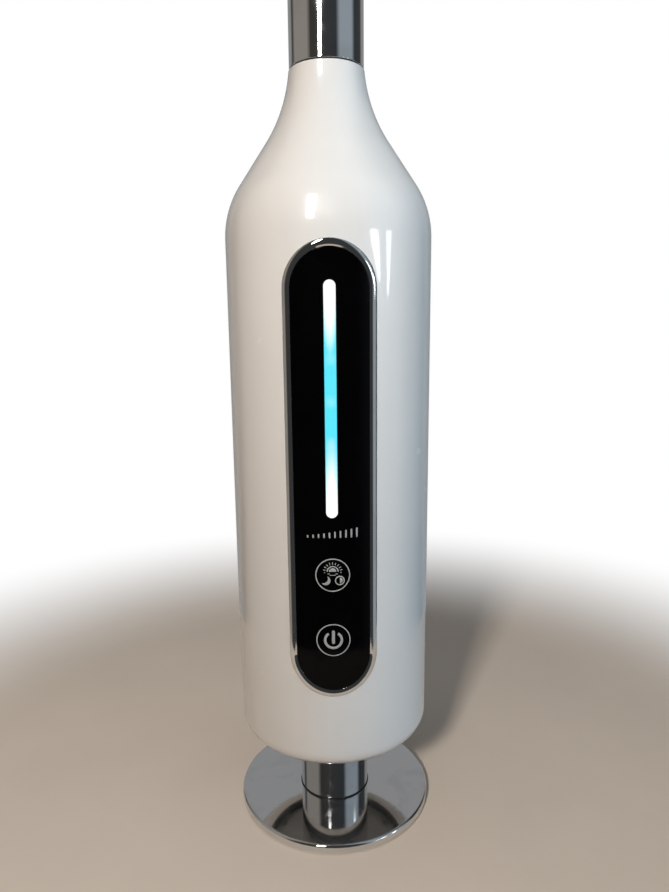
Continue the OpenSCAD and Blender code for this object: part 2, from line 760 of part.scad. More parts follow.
// White bottle with a window for the panel, a hole for the cord and a floor in its neck
module body_shell() {
    color("white") difference() {
        rotate_extrude() difference() {
            bottle(0);
            difference() {
                bottle(body_wall);
                translate([-past, body_z]) square([bottom_r + lip_root + past, lip_top - body_z]);
                translate([-past, neck_z - neck_floor_t]) square([body_r, neck_floor_t + past]);
            }
            translate([-past, body_z - past])
                square([bottom_r + fit_gap + past, bottom_top - body_z + past]);
            translate([-past, body_z]) square([lip_r + past, lip_top - body_z + past]);
            translate([-past, neck_z - neck_floor_t - past])
                square([neck_hole_r + past, neck_floor_t + 2 * past]);
        }
        front_bar(window_w, bezel_h - 2 * bezel_lip, panel_z, panel_back_y, body_r);
        translate([0, 0, gland_z]) rotate([-90, 0, 0]) cylinder(r = gland_hole_r, h = body_r + past);
        around(3, lip_screw_ring, 30) translate([0, 0, bottom_z])
            cylinder(r = lip_screw_r + fit_gap, h = lip_screw_len + 2 * fit_gap);
    }
}

// Hollow threaded tube that ties the ballast to the neck
module tie_tube() {
    color("goldenrod") tube(tie_r, tie_bore_r, tie_bottom, insert_z - tie_bottom - fit_gap);
}

// The three nuts on the tie tube: under the ballast, on it and in the neck
module tie_nuts() {
    color("darkgoldenrod") for (z = [tie_pocket_top - tie_nut_h, ballast_top, neck_nut_z])
        hex_nut(tie_nut_af, tie_r + fit_gap, z, tie_nut_h);
}

// Touch panel

// Chrome bezel: a band that overlaps the window, and a skirt that goes in through it
module bezel() {
    color("silver") difference() {
        union() {
            difference() {
                front_slab(bezel_w, bezel_h, panel_z, panel_back_y, bezel_face_r);
                translate([0, 0, body_z]) cylinder(r = body_r, h = straight_h);
            }
            front_slab(skirt_w, bezel_side + skirt_w, panel_z, panel_back_y, body_r + bezel_proud / 2);
        }
        front_bar(opening_w, bezel_side + opening_w, panel_z, panel_back_y - past, body_r);
    }
}

// Black touch glass, rolled to follow the body, with a slot for the slider
module touch_glass() {
    color("black") difference() {
        front_slab(glass_w, bezel_side + glass_w, panel_z, panel_back_y, glass_r);
        translate([0, 0, body_z]) cylinder(r = glass_back_r, h = straight_h);
        front_bar(slider_w + 2 * fit_gap, slider_h + 2 * fit_gap, slider_z, panel_back_y, body_r);
    }
}

// Clear bar that carries the light of the LEDs to the face of the glass
module light_guide() {
    color("cyan") front_slab(slider_w, slider_h, slider_z, board_front_y + led_t + fit_gap, glass_r);
}

// Frame behind the glass, with a flange that closes the bezel's skirt
module panel_carrier() {
    color("darkslategray") difference() {
        union() {
            front_slab(glass_w, bezel_side + glass_w, panel_z, board_front_y, glass_back_r);
            front_bar(skirt_w, bezel_side + skirt_w, panel_z, board_front_y, carrier_t);
        }
        front_bar(pocket_w, bezel_side + pocket_w, panel_z, board_front_y - past, body_r);
        at_panel_screws(board_front_y - past) cylinder(r = small_screw_r + fit_gap, h = carrier_t + past);
    }
}

// Spring clips on the flange that snap in behind the edge of the window
module panel_clips() {
    color("lightsteelblue") for (side = [-1, 1], z = [-1, 1])
        translate([side * (clip_x + clip_w / 2), -clip_front_y, panel_z + z * clip_rise - clip_h / 2])
            translate([-clip_w / 2, 0, 0]) cube([clip_w, clip_front_y - board_back_y, clip_h]);
}

// Circuit board of the touch panel
module touch_board() {
    color("darkgreen") difference() {
        front_bar(touch_board_w, bezel_side + touch_board_w, panel_z, board_back_y, board_t);
        at_panel_screws(board_back_y - past) cylinder(r = small_screw_r + fit_gap, h = board_t + 2 * past);
    }
}

// Screws that hold the touch board on the carrier
module touch_board_screws() {
    color("gray") at_panel_screws(board_back_y) mirror([0, 0, 1])
        pan_screw(small_screw_r, small_head_r, small_head_h, board_t + carrier_t);
}

// Row of LEDs behind the slider
module slider_leds() {
    color("lemonchiffon") for (i = [0:led_count - 1])
        translate([0, -board_front_y - led_t / 2, slider_z + (i - (led_count - 1) / 2) * led_pitch])
            cube([led_w, led_t, led_l], center = true);
}

// Conductive pads between the board and the glass, behind the two rings
module touch_pads() {
    color("darkorange") for (rise = [mode_rise, power_rise]) intersection() {
        translate([0, -board_front_y, bezel_z + rise]) rotate([90, 0, 0])
            cylinder(r = touch_pad_r, h = body_r);
        translate([0, 0, body_z]) cylinder(r = glass_back_r, h = straight_h);
    }
}

// Driver

// Sheet-metal frame that stands on the ballast and carries the driver board
module chassis_bracket() {
    color("lightslategray") difference() {
        translate([-chassis_w / 2, chassis_y, ballast_top]) union() {
            cube([chassis_w, chassis_t, chassis_h]);
            cube([chassis_w, chassis_foot, chassis_t]);
        }
        translate([-chassis_w / 2 + chassis_side, chassis_y - past, driver_z + chassis_side])
            cube([chassis_w - 2 * chassis_side, chassis_t + 2 * past, driver_h - 2 * chassis_side]);
        at_chassis_screws(ballast_top - past)
            cylinder(r = chassis_screw_r + fit_gap, h = chassis_t + 2 * past);
        at_board_screws(chassis_y - past) cylinder(r = small_screw_r + fit_gap, h = chassis_t + 2 * past);
    }
}

// Screws that hold the bracket on the ballast
module chassis_screws() {
    color("gray") at_chassis_screws(ballast_top + chassis_t)
        pan_screw(chassis_screw_r, chassis_head_r, chassis_head_h, chassis_screw_len);
}

// Circuit board of the dimmer and its power supply
module driver_board() {
    color("green") difference() {
        translate([-driver_w / 2, driver_front_y, driver_z]) cube([driver_w, board_t, driver_h]);
        at_board_screws(driver_front_y - past) cylinder(r = small_screw_r + fit_gap, h = board_t + 2 * past);
    }
}

// Spacers between the bracket and the driver board
module board_spacers() {
    color("gold") at_board_screws(spacer_y) tube(spacer_r, small_screw_r + fit_gap, 0, spacer_len);
}

// Screws through the driver board and its spacers into the bracket
module board_screws() {
    color("gray") at_board_screws(driver_back_y)
        pan_screw(small_screw_r, small_head_r, small_head_h, board_screw_len);
}

// Iron core of the transformer: a frame with a middle leg
module transformer_core() {
    window_w_core = (core_w - 3 * core_leg) / 2;
    color("saddlebrown") translate([0, coil_y, transformer_z]) difference() {
        cube([core_w, core_t, core_h], center = true);
        for (side = [-1, 1]) translate([side * (core_leg + window_w_core) / 2, 0, 0])
            cube([window_w_core, core_t + 2 * past, core_h - 2 * core_leg], center = true);
    }
}

// Copper coil around the middle leg of the core, standing on the board
module transformer_coil() {
    color("chocolate") translate([0, coil_y, transformer_z]) difference() {
        cube([coil_w, coil_t, coil_h], center = true);
        cube([core_leg + 2 * fit_gap, core_t + 2 * fit_gap, core_h], center = true);
    }
}

// Two smoothing capacitors
module capacitors() {
    color("midnightblue") for (side = [-1, 1])
        translate([driver_w / 2 - cap_r - edge_gap, driver_back_y, sink_z + side * (cap_r + cap_gap / 2)])
            rotate([-90, 0, 0]) cylinder(r = cap_r, h = cap_h);
}

// Finned heat sink of the dimmer
module heat_sink() {
    fin_t = sink_w / (2 * sink_fins - 1);
    color("gray") translate([edge_gap - driver_w / 2, driver_back_y, sink_z - sink_h / 2]) difference() {
        cube([sink_w, sink_d, sink_h]);
        for (i = [0:sink_fins - 2]) translate([(1 + 2 * i) * fin_t, sink_d / 3, -past])
            cube([fin_t, sink_d, sink_h + 2 * past]);
    }
}

// Triac that switches the lamp, flat against the side of the heat sink
module triac() {
    color("black") translate([edge_gap - driver_w / 2 + sink_w, driver_back_y, sink_z - triac_h / 2])
        cube([triac_w, triac_d, triac_h]);
}

// Screw terminals for the cord below and for the lampholder above
module terminal_blocks() {
    hole_y = terminal_d - terminal_hole_depth;
    heights = [low_terminal_z, high_terminal_z];
    color("seagreen") for (z = heights) translate([0, driver_back_y, 0]) difference() {
        translate([-terminal_w / 2, 0, z]) cube([terminal_w, terminal_d, terminal_h]);
        for (side = [-1, 1]) translate([side * terminal_w / 4, hole_y, z + terminal_h / 2])
            rotate([-90, 0, 0]) cylinder(r = terminal_hole_r, h = terminal_hole_depth + past);
    }
}

// Flat ribbon cable that sags from the touch board to the driver board
module ribbon_cable() {
    color("lightgray") translate([ribbon_x - ribbon_w / 2, -board_back_y, ribbon_z]) rotate([90, 0, 90])
        linear_extrude(ribbon_w) intersection() {
            translate([ribbon_span / 2, ribbon_arc_r - ribbon_sag]) difference() {
                circle(r = ribbon_arc_r + ribbon_t / 2);
                circle(r = ribbon_arc_r - ribbon_t / 2);
            }
            translate([0, -ribbon_sag - ribbon_t]) square([ribbon_span, ribbon_sag + 3 * ribbon_t]);
        }
}

// Share of a lead's rise over which it bends in towards the neck
lead_bend = 0.8;
// Blend from a to b that starts and ends level
function eased(a, b, u) = a + (b - a) * u * u * (3 - 2 * u);
// Point on the lead of one side, u from 0 at the terminal block to 1 at the lampholder
function lead_point(side, u) = [
    side * eased(terminal_w / 4, lead_ring, min(1, u / lead_bend)),
    eased(driver_back_y + terminal_d / 2, 0, min(1, u / lead_bend)),
    high_terminal_z + terminal_h + u * (insert_z - high_terminal_z - terminal_h)
];

// Two leads that rise from the terminal block into the lampholder
module holder_leads() {
    sides = 8;
    steps = 16;
    color("crimson") for (side = [-1, 1]) polyhedron(
        points = [for (k = [0:steps], i = [0:sides - 1])
            lead_point(side, k / steps) + lead_r * [cos(i * 360 / sides), sin(i * 360 / sides), 0]],
        faces = concat(
            [[for (i = [0:sides - 1]) i], [for (i = [sides - 1:-1:0]) steps * sides + i]],
            [for (k = [0:steps - 1], i = [0:sides - 1])
                [k * sides + i, (k + 1) * sides + i, (k + 1) * sides + (i + 1) % sides]],
            [for (k = [0:steps - 1], i = [0:sides - 1])
                [k * sides + i, (k + 1) * sides + (i + 1) % sides, k * sides + (i + 1) % sides]]
        )
    );
}

// Neck and lampholder

// Dark gasket in the seam of the neck
module neck_gasket() {
    color("black") tube(collar_r - gasket_sink, neck_hole_r, neck_z, gasket_t);
}

// Steel plate in the neck that the tie tube pulls down
module neck_plate() {
    color("slategray") difference() {
        tube(holder_r, tie_r + fit_gap, collar_z, neck_plate_t);
        around(2, lead_ring) translate([0, 0, collar_z - past])
            cylinder(r = lead_hole_r, h = neck_plate_t + 2 * past);
    }
}

// Chrome collar that covers the lampholder
module neck_collar() {
    color("silver") tube(collar_r, collar_bore_r, collar_z, collar_h);
}

// Cap that screws onto the tie tube and carries the insert
module holder_cap() {
    color("darkgray") difference() {
        tube(holder_r, tie_r + fit_gap, holder_cap_z, holder_cap_t);
        around(2, lead_ring) translate([0, 0, holder_cap_z - past])
            cylinder(r = lead_hole_r, h = holder_cap_t + 2 * past);
        around(2, insert_screw_ring, 45) translate([0, 0, holder_cap_z - past])
            cylinder(r = insert_screw_r + fit_gap, h = holder_cap_t + 2 * past);
    }
}

// Porcelain cup of the lampholder
module holder_insert() {
    color("linen") difference() {
        tube(holder_r, 0, insert_z, rim_z - insert_z);
        translate([0, 0, socket_z]) cylinder(r = insert_bore_r, h = rim_z - socket_z + past);
        around(2, insert_screw_ring, 45) translate([0, 0, insert_z - past])
            cylinder(r = insert_screw_r + fit_gap, h = insert_floor_t + 2 * past);
    }
}

// Screws that hold the insert on its cap
module insert_screws() {
    color("gray") around(2, insert_screw_ring, 45) translate([0, 0, socket_z])
        pan_screw(insert_screw_r, insert_head_r, insert_head_h, insert_floor_t + holder_cap_t);
}

// Rolled brass shell that takes the bulb's screw cap
module screw_shell() {
    color("gold") rotate_extrude() difference() {
        union() {
            translate([shell_bore_r, socket_z]) square([shell_wall, rim_z - socket_z]);
            for (i = [0:thread_turns - 1])
                translate([shell_bore_r + shell_wall - crest_sink, cap_z + 2 * crest_r + i * thread_pitch])
                    circle(r = crest_r);
        }
        translate([0, socket_z - past]) square([shell_bore_r, rim_z - socket_z + 2 * past]);
    }
}

// Sprung brass tongue under the contact tip
module centre_contact() {
    color("gold") translate([-contact_w / 2, 0, socket_z]) rotate([90, 0, 90]) linear_extrude(contact_w)
        polygon([
            [-tongue_back, 0], [-tongue_back / 2, 0], [-tongue_front, contact_h - tongue_t],
            [tongue_front, contact_h - tongue_t], [tongue_front, contact_h],
            [-tongue_front - tongue_t / 2, contact_h], [-tongue_back / 2 - tongue_t / 2, tongue_t],
            [-tongue_back, tongue_t]
        ]);
}

// Insulating rim that holds the collar down
module holder_rim() {
    color("black") tube(collar_r, rim_bore_r, rim_z, rim_h);
}

// Cord inlet

// Gland in the back of the body, with a flange that follows the body's face
module cord_gland() {
    color("black") difference() {
        translate([0, 0, gland_z]) rotate([-90, 0, 0]) union() {
            translate([0, 0, gland_end_y]) cylinder(r = gland_r, h = body_r - gland_end_y);
            difference() {
                translate([0, 0, inner_r]) cylinder(r = gland_flange_r, h = body_wall + gland_flange_t);
                rotate([90, 0, 0]) cylinder(r = body_r, h = 4 * gland_flange_r, center = true);
            }
        }
        translate([0, 0, gland_z]) rotate([-90, 0, 0]) cylinder(r = gland_bore_r, h = 2 * body_r);
    }
}

// Nut that pulls the gland against the wall
module gland_nut() {
    color("dimgray") translate([0, 0, gland_z]) rotate([-90, 0, 0])
        hex_nut(gland_nut_af, gland_r + fit_gap, gland_nut_y - gland_nut_h, gland_nut_h);
}

// Bulb

// Contact tip at the bottom of the bulb
module bulb_tip() {
    color("silver") tube(tip_r, 0, tip_z, tip_h);
}

// Black glass cone between the contact tip and the screw cap
module bulb_insulator() {
    color("black") translate([0, 0, insulator_z])
        cylinder(r1 = tip_r + tip_margin, r2 = cap_root_r, h = insulator_h);
}

// Screw cap with rounded rings
module bulb_cap() {
    color("silver") rotate_extrude() difference() {
        union() {
            translate([cap_bore_r, cap_z]) square([cap_wall, cap_len]);
            for (i = [0:thread_turns - 1])
                translate([thread_r - crest_r, cap_z + 2 * crest_r + i * thread_pitch]) circle(r = crest_r);
        }
        translate([0, cap_z - past]) square([cap_bore_r, cap_len + 2 * past]);
    }
}

// White skirt that flares from the screw cap to the globe, closed by a deck
module bulb_skirt() {
    spigot_r = cap_bore_r - fit_gap;
    flare_top = skirt_top - skirt_band;
    color("white") rotate_extrude() polygon([
        [spigot_r - skirt_wall, cap_top - spigot_h], [spigot_r, cap_top - spigot_h], [spigot_r, cap_top],
        [skirt_foot_r, cap_top], [skirt_foot_r, skirt_flare_z], [skirt_r, flare_top], [skirt_r, skirt_top],
        [0, skirt_top], [0, skirt_top - skirt_wall], [skirt_r - skirt_wall, skirt_top - skirt_wall],
        [skirt_r - skirt_wall, flare_top + skirt_wall / 2], [skirt_foot_r - skirt_wall, skirt_flare_z],
        [spigot_r - skirt_wall, cap_top]
    ]);
}

// Round plate on the deck that carries the bulb's LEDs
module bulb_led_plate() {
    color("gainsboro") tube(led_plate_r, 0, skirt_top, led_plate_t);
}

// Ring of LEDs inside the globe
module bulb_leds() {
    color("yellow") around(bulb_led_count, bulb_led_ring)
        translate([-led_l / 2, -led_w / 2, skirt_top + led_plate_t]) cube([led_l, led_w, led_t]);
}

// Hollow opal globe, cut flat where it sits on the skirt
module bulb_globe() {
    color("white") difference() {
        translate([0, 0, globe_z]) sphere(r = globe_r);
        translate([0, 0, globe_z]) sphere(r = globe_r - globe_wall);
        translate([0, 0, skirt_top - globe_r]) cylinder(r = globe_r, h = globe_r);
    }
}

foot_pad();
foot_plate();
foot_screws();
stem_ring();
swivel_spigot();
friction_washer();
swivel_washer();
swivel_nut();
stem_tube();
swivel_bush();
bottom_plate();
bottom_screws();
ballast_weight();
ballast_screws();
body_shell();
tie_tube();
tie_nuts();
bezel();
touch_glass();
light_guide();
panel_carrier();
panel_clips();
touch_board();
touch_board_screws();
slider_leds();
touch_pads();
chassis_bracket();
chassis_screws();
driver_board();
board_spacers();
board_screws();
transformer_core();
transformer_coil();
capacitors();
heat_sink();
triac();
terminal_blocks();
ribbon_cable();
holder_leads();
neck_gasket();
neck_plate();
neck_collar();
holder_cap();
holder_insert();
insert_screws();
screw_shell();
centre_contact();
holder_rim();
cord_gland();
gland_nut();
bulb_tip();
bulb_insulator();
bulb_cap();
bulb_skirt();
bulb_led_plate();
bulb_leds();
bulb_globe();
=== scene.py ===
"""Dresses the desk lamp: a white bottle-shaped body with a touch panel, turning on a mirror foot."""

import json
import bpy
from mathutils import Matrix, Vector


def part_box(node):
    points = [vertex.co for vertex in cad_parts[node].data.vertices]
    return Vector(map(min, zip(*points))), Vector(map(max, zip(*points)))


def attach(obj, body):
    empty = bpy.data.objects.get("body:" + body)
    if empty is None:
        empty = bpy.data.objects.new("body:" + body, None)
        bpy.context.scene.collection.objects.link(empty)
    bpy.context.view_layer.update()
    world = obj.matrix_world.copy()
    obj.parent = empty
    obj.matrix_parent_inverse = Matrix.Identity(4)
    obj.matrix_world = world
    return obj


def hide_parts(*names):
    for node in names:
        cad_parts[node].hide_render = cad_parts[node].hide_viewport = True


bl_info = {
    "name": "Desk lamp with touch panel",
    "version": (1, 0, 0),
    "blender": (4, 5, 0),
    "location": "3D View > Sidebar > Desk Lamp",
    "description": "Builds the surfaces, finishes and stage of a desk lamp over its packed frame",
    "category": "Object",
}

from math import atan2, cos, pi, radians, sin, tan

import bpy
import numpy as np
from bpy.props import FloatProperty, FloatVectorProperty, PointerProperty
from mathutils import Matrix, Vector

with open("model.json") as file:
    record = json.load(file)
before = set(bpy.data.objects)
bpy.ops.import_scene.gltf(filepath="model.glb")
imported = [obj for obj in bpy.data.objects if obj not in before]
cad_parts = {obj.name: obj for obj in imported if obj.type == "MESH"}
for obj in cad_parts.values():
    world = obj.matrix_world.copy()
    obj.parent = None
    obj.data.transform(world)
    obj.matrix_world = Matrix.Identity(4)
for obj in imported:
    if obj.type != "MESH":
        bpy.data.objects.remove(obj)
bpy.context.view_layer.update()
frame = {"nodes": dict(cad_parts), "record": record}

MM = 0.001
LED_PITCH = 18.4 * MM
PANEL_FACE = 50.5  # radius of the touch panel's face, in millimetres
NEAREST = 1e-7  # points that agree to this, in metres, are one


def low(node):
    """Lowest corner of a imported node, in millimetres."""
    return np.array(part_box(node)[0]) / MM


def high(node):
    """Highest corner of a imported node, in millimetres."""
    return np.array(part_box(node)[1]) / MM


def ends(node):
    """Foot height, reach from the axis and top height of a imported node, in millimetres."""
    return low(node)[2], *high(node)[[0, 2]]


def front_size(node):
    """Width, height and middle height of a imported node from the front, in millimetres."""
    lo, hi = low(node), high(node)
    return hi[0] - lo[0], hi[2] - lo[2], (lo[2] + hi[2]) / 2


# Sizes and colours that a user would change


def size(name, description, value):
    """A length property, given in millimetres."""
    return FloatProperty(
        name=name, description=description, default=value * MM, min=0.0, unit="LENGTH", precision=5,
    )


def tint(name, description, value):
    """A linear colour property."""
    return FloatVectorProperty(
        name=name, description=description, default=value, min=0.0, max=1.0, subtype="COLOR",
    )


def power(name, description, value):
    """The power of a light, in watts."""
    return FloatProperty(name=name, description=description, default=value, min=0.0, unit="POWER")


class LampSizes(bpy.types.PropertyGroup):
    """Sizes of the lamp's surfaces"""

    body_radius: size("Body radius", "Radius of the straight side of the body", 50.0)
    body_wall: size("Body wall", "Wall of the body shell", 2.5)
    bottom_edge: size("Bottom edge", "Rounding along the bottom edge of the body", 9.7)
    recess_radius: size("Recess radius", "Radius of the recess in the underside", 37.6)
    recess_depth: size("Recess depth", "Depth of the recess in the underside", 5.0)
    straight_side: size("Straight side", "Height from the underside to the shoulder", 254.2)
    shoulder_radius: size("Shoulder radius", "Radius of the rounded shoulder", 43.2)
    shoulder_slope: FloatProperty(
        name="Shoulder slope", description="Slope of the shoulder's cone from the upright",
        default=radians(33.8), subtype="ANGLE",
    )
    sweep_radius: size("Sweep radius", "Radius of the hollow sweep up to the neck", 71.8)
    neck_radius: size("Neck radius", "Radius at which the sweep would stand upright", 17.5)
    neck_drop: size("Neck drop", "Distance from that upright point down to the neck's seam", 7.4)
    neck_hole: size("Neck hole", "Radius of the hole in the top of the neck", 13.0)
    bezel_band: size("Bezel band", "Width of the bright band around the panel", 3.4)
    bezel_lip: size("Bezel lip", "Overlap of the bezel on the edge of the window", 1.2)
    sign_line: size("Sign line", "Line width of the printed rings", 0.5)
    thread_pitch: size("Thread pitch", "Pitch of the bulb's screw thread", 3.63)


class LampColours(bpy.types.PropertyGroup):
    """Colours of the lamp's finishes"""

    lacquer: tint("White lacquer", "Gloss white of the body", (0.80, 0.79, 0.775))
    chrome: tint("Chrome", "Polished plating on the foot, stem, bezel and collar", (0.72, 0.73, 0.74))
    panel: tint("Panel glass", "Black glass of the touch panel", (0.0012, 0.0012, 0.0016))
    slider_end: tint("Slider ends", "Light at both ends of the slider", (1.0, 1.0, 1.0))
    slider_middle: tint("Slider middle", "Light in the middle of the slider", (0.035, 0.74, 0.91))
    print_grey: tint("Panel print", "Grey of the printed signs", (0.50, 0.50, 0.49))
    felt: tint("Felt", "Felt under the foot", (0.045, 0.045, 0.05))
    opal: tint("Opal glass", "Glass of the globe", (0.70, 0.69, 0.67))


class StageSettings(bpy.types.PropertyGroup):
    """Floor, light and camera"""

    floor: tint("Floor", "Pale floor under the lamp", (0.66, 0.65, 0.63))
    key_power: power("Key light", "Power of the front light", 0.88)
    top_power: power("Top light", "Power of the wide light overhead", 4.2)
    cool_power: power("Cool side", "Power of the cool light at the right", 4.2)
    warm_power: power("Warm side", "Power of the warm light at the left", 0.65)
    floor_power: power("Floor light", "Power of the light that throws the shadow on the floor", 14.2)
    back_power: power("Back light", "Power of the fill light behind", 8.0)
    ambient: FloatProperty(
        name="Ambient", description="Level of the even light from all round", default=0.05, min=0.0,
    )
    lens: FloatProperty(
        name="Lens", description="Focal length of the camera", default=27.08, min=1.0, unit="CAMERA",
    )


# Surfaces


def stack(*parts):
    """Points from their coordinates."""
    return np.stack(np.broadcast_arrays(*parts), axis=-1)


def unit(ways):
    """Directions at a length of one."""
    return ways / np.linalg.norm(ways, axis=-1, keepdims=True)


def join(*parts):
    """Points or directions one after the other."""
    return np.concatenate(parts)


def between(first, second, spread):
    """Lines that lead from one line to another, each by its share of the way."""
    return first + (second - first) * np.asarray(spread)[:, None, None]


def rounded(points, radii, steps):
    """Profile with rounded corners: each becomes an arc that touches both of its straight runs. Returns
    the points and the unit directions to the right of the run."""
    points = np.asarray(points, float)
    run = unit(np.diff(points, axis=0))
    right = stack(run[:, 1], -run[:, 0])
    path, side = [points[:1]], [right[:1]]
    for k, radius in enumerate(radii, start=1):
        before, after, out = run[k - 1], run[k], right[k - 1]
        bend = atan2(before[0] * after[1] - before[1] * after[0], before @ after)
        turn, hand = np.linspace(0.0, bend, steps + 1)[:, None], np.sign(bend)
        fan = np.cos(turn) * out + np.sin(turn) * np.array([-out[1], out[0]])
        centre = points[k] - before * radius * tan(abs(bend) / 2) - out * radius * hand
        path.append(centre + fan * radius * hand)
        side.append(fan)
    return join(*path, points[-1:]), join(*side, right[-1:])


def arc(centre, radius, start, end, steps):
    """Arc of a circle from one angle to another, as points (r, z)."""
    turn = np.linspace(start, end, steps + 1)
    return stack(centre[0] + radius * np.cos(turn), centre[1] + radius * np.sin(turn))


def ring(node, inner, edges, steps):
    """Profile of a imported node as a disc, or as a ring with an inner radius, with rounded edges."""
    foot, reach, top = ends(node)
    points = [(inner, foot), (reach, foot), (reach, top), (inner, top)]
    return rounded(points + [points[0]] if inner else points, edges, steps)


def grid_faces(rows, columns, wrap_rows=False, wrap_columns=True):
    """Four corners of each cell of a grid, which may close on itself either way."""
    i = np.arange(rows if wrap_rows else rows - 1)[:, None]
    j = np.arange(columns if wrap_columns else columns - 1)[None, :]
    here, up, on = i * columns, (i + 1) % rows * columns, (j + 1) % columns
    return stack(here + j, here + on, up + on, up + j).reshape(-1, 4)


def turned(profile, count=192):
    """Profile turned about Z, the solid at its left: at angle a, (r, z) lies at (r cos a, r sin a, z)."""
    angle = np.linspace(-pi / 2, 1.5 * pi, count, endpoint=False)
    spots, ways = (
        stack(pair[:, :1] * np.cos(angle), pair[:, :1] * np.sin(angle), pair[:, 1:]) for pair in profile
    )
    return spots, grid_faces(len(spots), count), ways


def outline(width, height, middle):
    """Obround outline, counterclockwise from the front: a half circle of the width about each end of the
    middle line, joined by straight runs. Returns points (x, z) and outward directions."""
    around, along = np.linspace(0, pi, 29), np.linspace(-1, 1, 49)[1:-1]
    flat, cap = np.zeros_like(along), np.ones_like(around)
    x = join(flat + 1, np.cos(around), flat - 1, -np.cos(around))
    z = join(flat, np.sin(around), flat, -np.sin(around))
    rise = join(along, cap, -along, -cap) * ((height - width) / 2)
    return stack(width / 2 * x, middle + rise + width / 2 * z), stack(x, z)


def on_front(flat, radius, across=None, lift=None):
    """Lays points (x, z) on the front of an upright cylinder: y is minus the root of r squared less x
    squared. With directions across the outline and a lift off the axis, also returns unit normals."""
    x, z = flat[..., 0], flat[..., 1]
    depth = np.sqrt(radius ** 2 - x ** 2)
    spots = stack(x, -depth, z)
    if across is None:
        return spots
    lean, face, over = x / radius, depth / radius, across[..., 0]
    return spots, unit(stack(over * face + lift * lean, over * lean - lift * face, across[..., 1]))


def carried(section, edge, radius):
    """Closed section carried along an outline on the body's front: (o, h) lies o outside it and h above
    the radius."""
    path, side = section
    points, out = edge
    flat = points + path[:, :1, None] * out
    spots, ways = on_front(flat, radius + path[:, 1:], side[:, :1, None] * out, side[:, 1:])
    return spots, grid_faces(*flat.shape[:2], wrap_rows=True), ways


def make_object(name, surfaces, finish, scale=1.0):
    """Makes an object from surfaces: merges points that meet, and closes poles into triangles."""
    spots, faces, ways, start = [], [], [], 0
    for points, cells, *normals in surfaces:
        spots.append(points.reshape(-1, 3) * scale)
        faces.append(cells + start)
        ways.append((normals[0] if normals else np.zeros_like(points)).reshape(-1, 3))
        start += len(spots[-1])
    spots, faces, ways = join(*spots), join(*faces), join(*ways)
    places = np.round(spots / NEAREST).astype(np.int64)
    _, first, merged = np.unique(places, axis=0, return_index=True, return_inverse=True)
    faces = merged.reshape(-1)[faces]
    keep = faces != np.roll(faces, -1, axis=1)
    corners = keep.sum(axis=1)
    keep[corners < 3] = False
    corners, loops = corners[corners > 2], faces[keep]
    mesh = bpy.data.meshes.new(name)
    mesh.vertices.add(len(first))
    mesh.vertices.foreach_set("co", spots[first].ravel())
    mesh.loops.add(len(loops))
    mesh.loops.foreach_set("vertex_index", loops.astype(np.int32))
    mesh.polygons.add(len(corners))
    mesh.polygons.foreach_set("loop_start", (np.cumsum(corners) - corners).astype(np.int32))
    mesh.polygons.foreach_set("use_smooth", np.ones(len(corners), bool))
    mesh.update(calc_edges=True)
    if mesh.validate():
        raise RuntimeError(f"{name} has broken faces")
    if np.abs(ways).max() > 0:
        mesh.normals_split_custom_set_from_vertices(ways[first])
    mesh.materials.append(finish)
    thing = bpy.data.objects.new(name, mesh)
    bpy.context.scene.collection.objects.link(thing)
    return thing


def solid(name, surfaces, body, slot, nodes=(), finish=None):
    """Makes a piece from surfaces in millimetres, and ties it to its body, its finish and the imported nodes
    that it stands for."""
    piece = make_object(name, surfaces, finish or lamp_finishes(bpy.context.scene)[slot], MM)
    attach(piece, body)
    if nodes:
        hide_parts(*nodes)
    return piece


# Nodes


def feed(tree, node, values):
    """Fills a node's sockets: links the outputs of other nodes, and sets anything else."""
    for key, value in values.items():
        socket = node.inputs[key]
        if isinstance(value, bpy.types.NodeSocket):
            tree.links.new(value, socket)
        else:
            socket.default_value = (*value, 1.0) if socket.type == "RGBA" else value


def add(tree, kind, values=None, **settings):
    """Adds a node with its settings and socket values, and returns its first output."""
    node = tree.nodes.new("ShaderNode" + kind)
    for key, value in settings.items():
        setattr(node, key, value)
    feed(tree, node, values or {})
    return next(socket for socket in node.outputs if socket.enabled)


def calc(tree, operation, *values, clamp=False):
    """Works out a value from others."""
    return add(tree, "Math", dict(enumerate(values)), operation=operation, use_clamp=clamp)


def total(tree, *parts):
    """Adds up values."""
    result = parts[0]
    for part in parts[1:]:
        result = calc(tree, "ADD", result, part)
    return result


def scaled(tree, value, least, most, interpolation="LINEAR", **ends):
    """Takes a value from one range to another, 0 to 1 if no ends are given."""
    values = {"To " + key.title(): end for key, end in ends.items()}
    values |= {"Value": value, "From Min": least, "From Max": most}
    return add(tree, "MapRange", values, interpolation_type=interpolation)


def blend(tree, factor, first, second):
    """Mixes two colours by a factor."""
    return add(tree, "Mix", {"Factor": factor, "A": first, "B": second}, data_type="RGBA")


def ramp(tree, value, stops):
    """Colour of a value between 0 and 1, by stops."""
    result = add(tree, "ValToRGB", {"Fac": value})
    points = result.node.color_ramp.elements
    points.remove(points[1])
    points[0].position, points[0].color = stops[0][0], (*stops[0][1], 1.0)
    for at, colour in stops[1:]:
        points.new(at).color = (*colour, 1.0)
    return result


def noise(tree, place, scale, **values):
    """Noise at a place."""
    return add(tree, "TexNoise", {"Vector": place, "Scale": scale, **values})


def object_place(tree):
    """The place on the object."""
    return add(tree, "TexCoord").node.outputs["Object"]


def axes(tree, place):
    """The X, Y and Z of a place."""
    return add(tree, "SeparateXYZ", {"Vector": place}).node.outputs


# Effects that finishes share


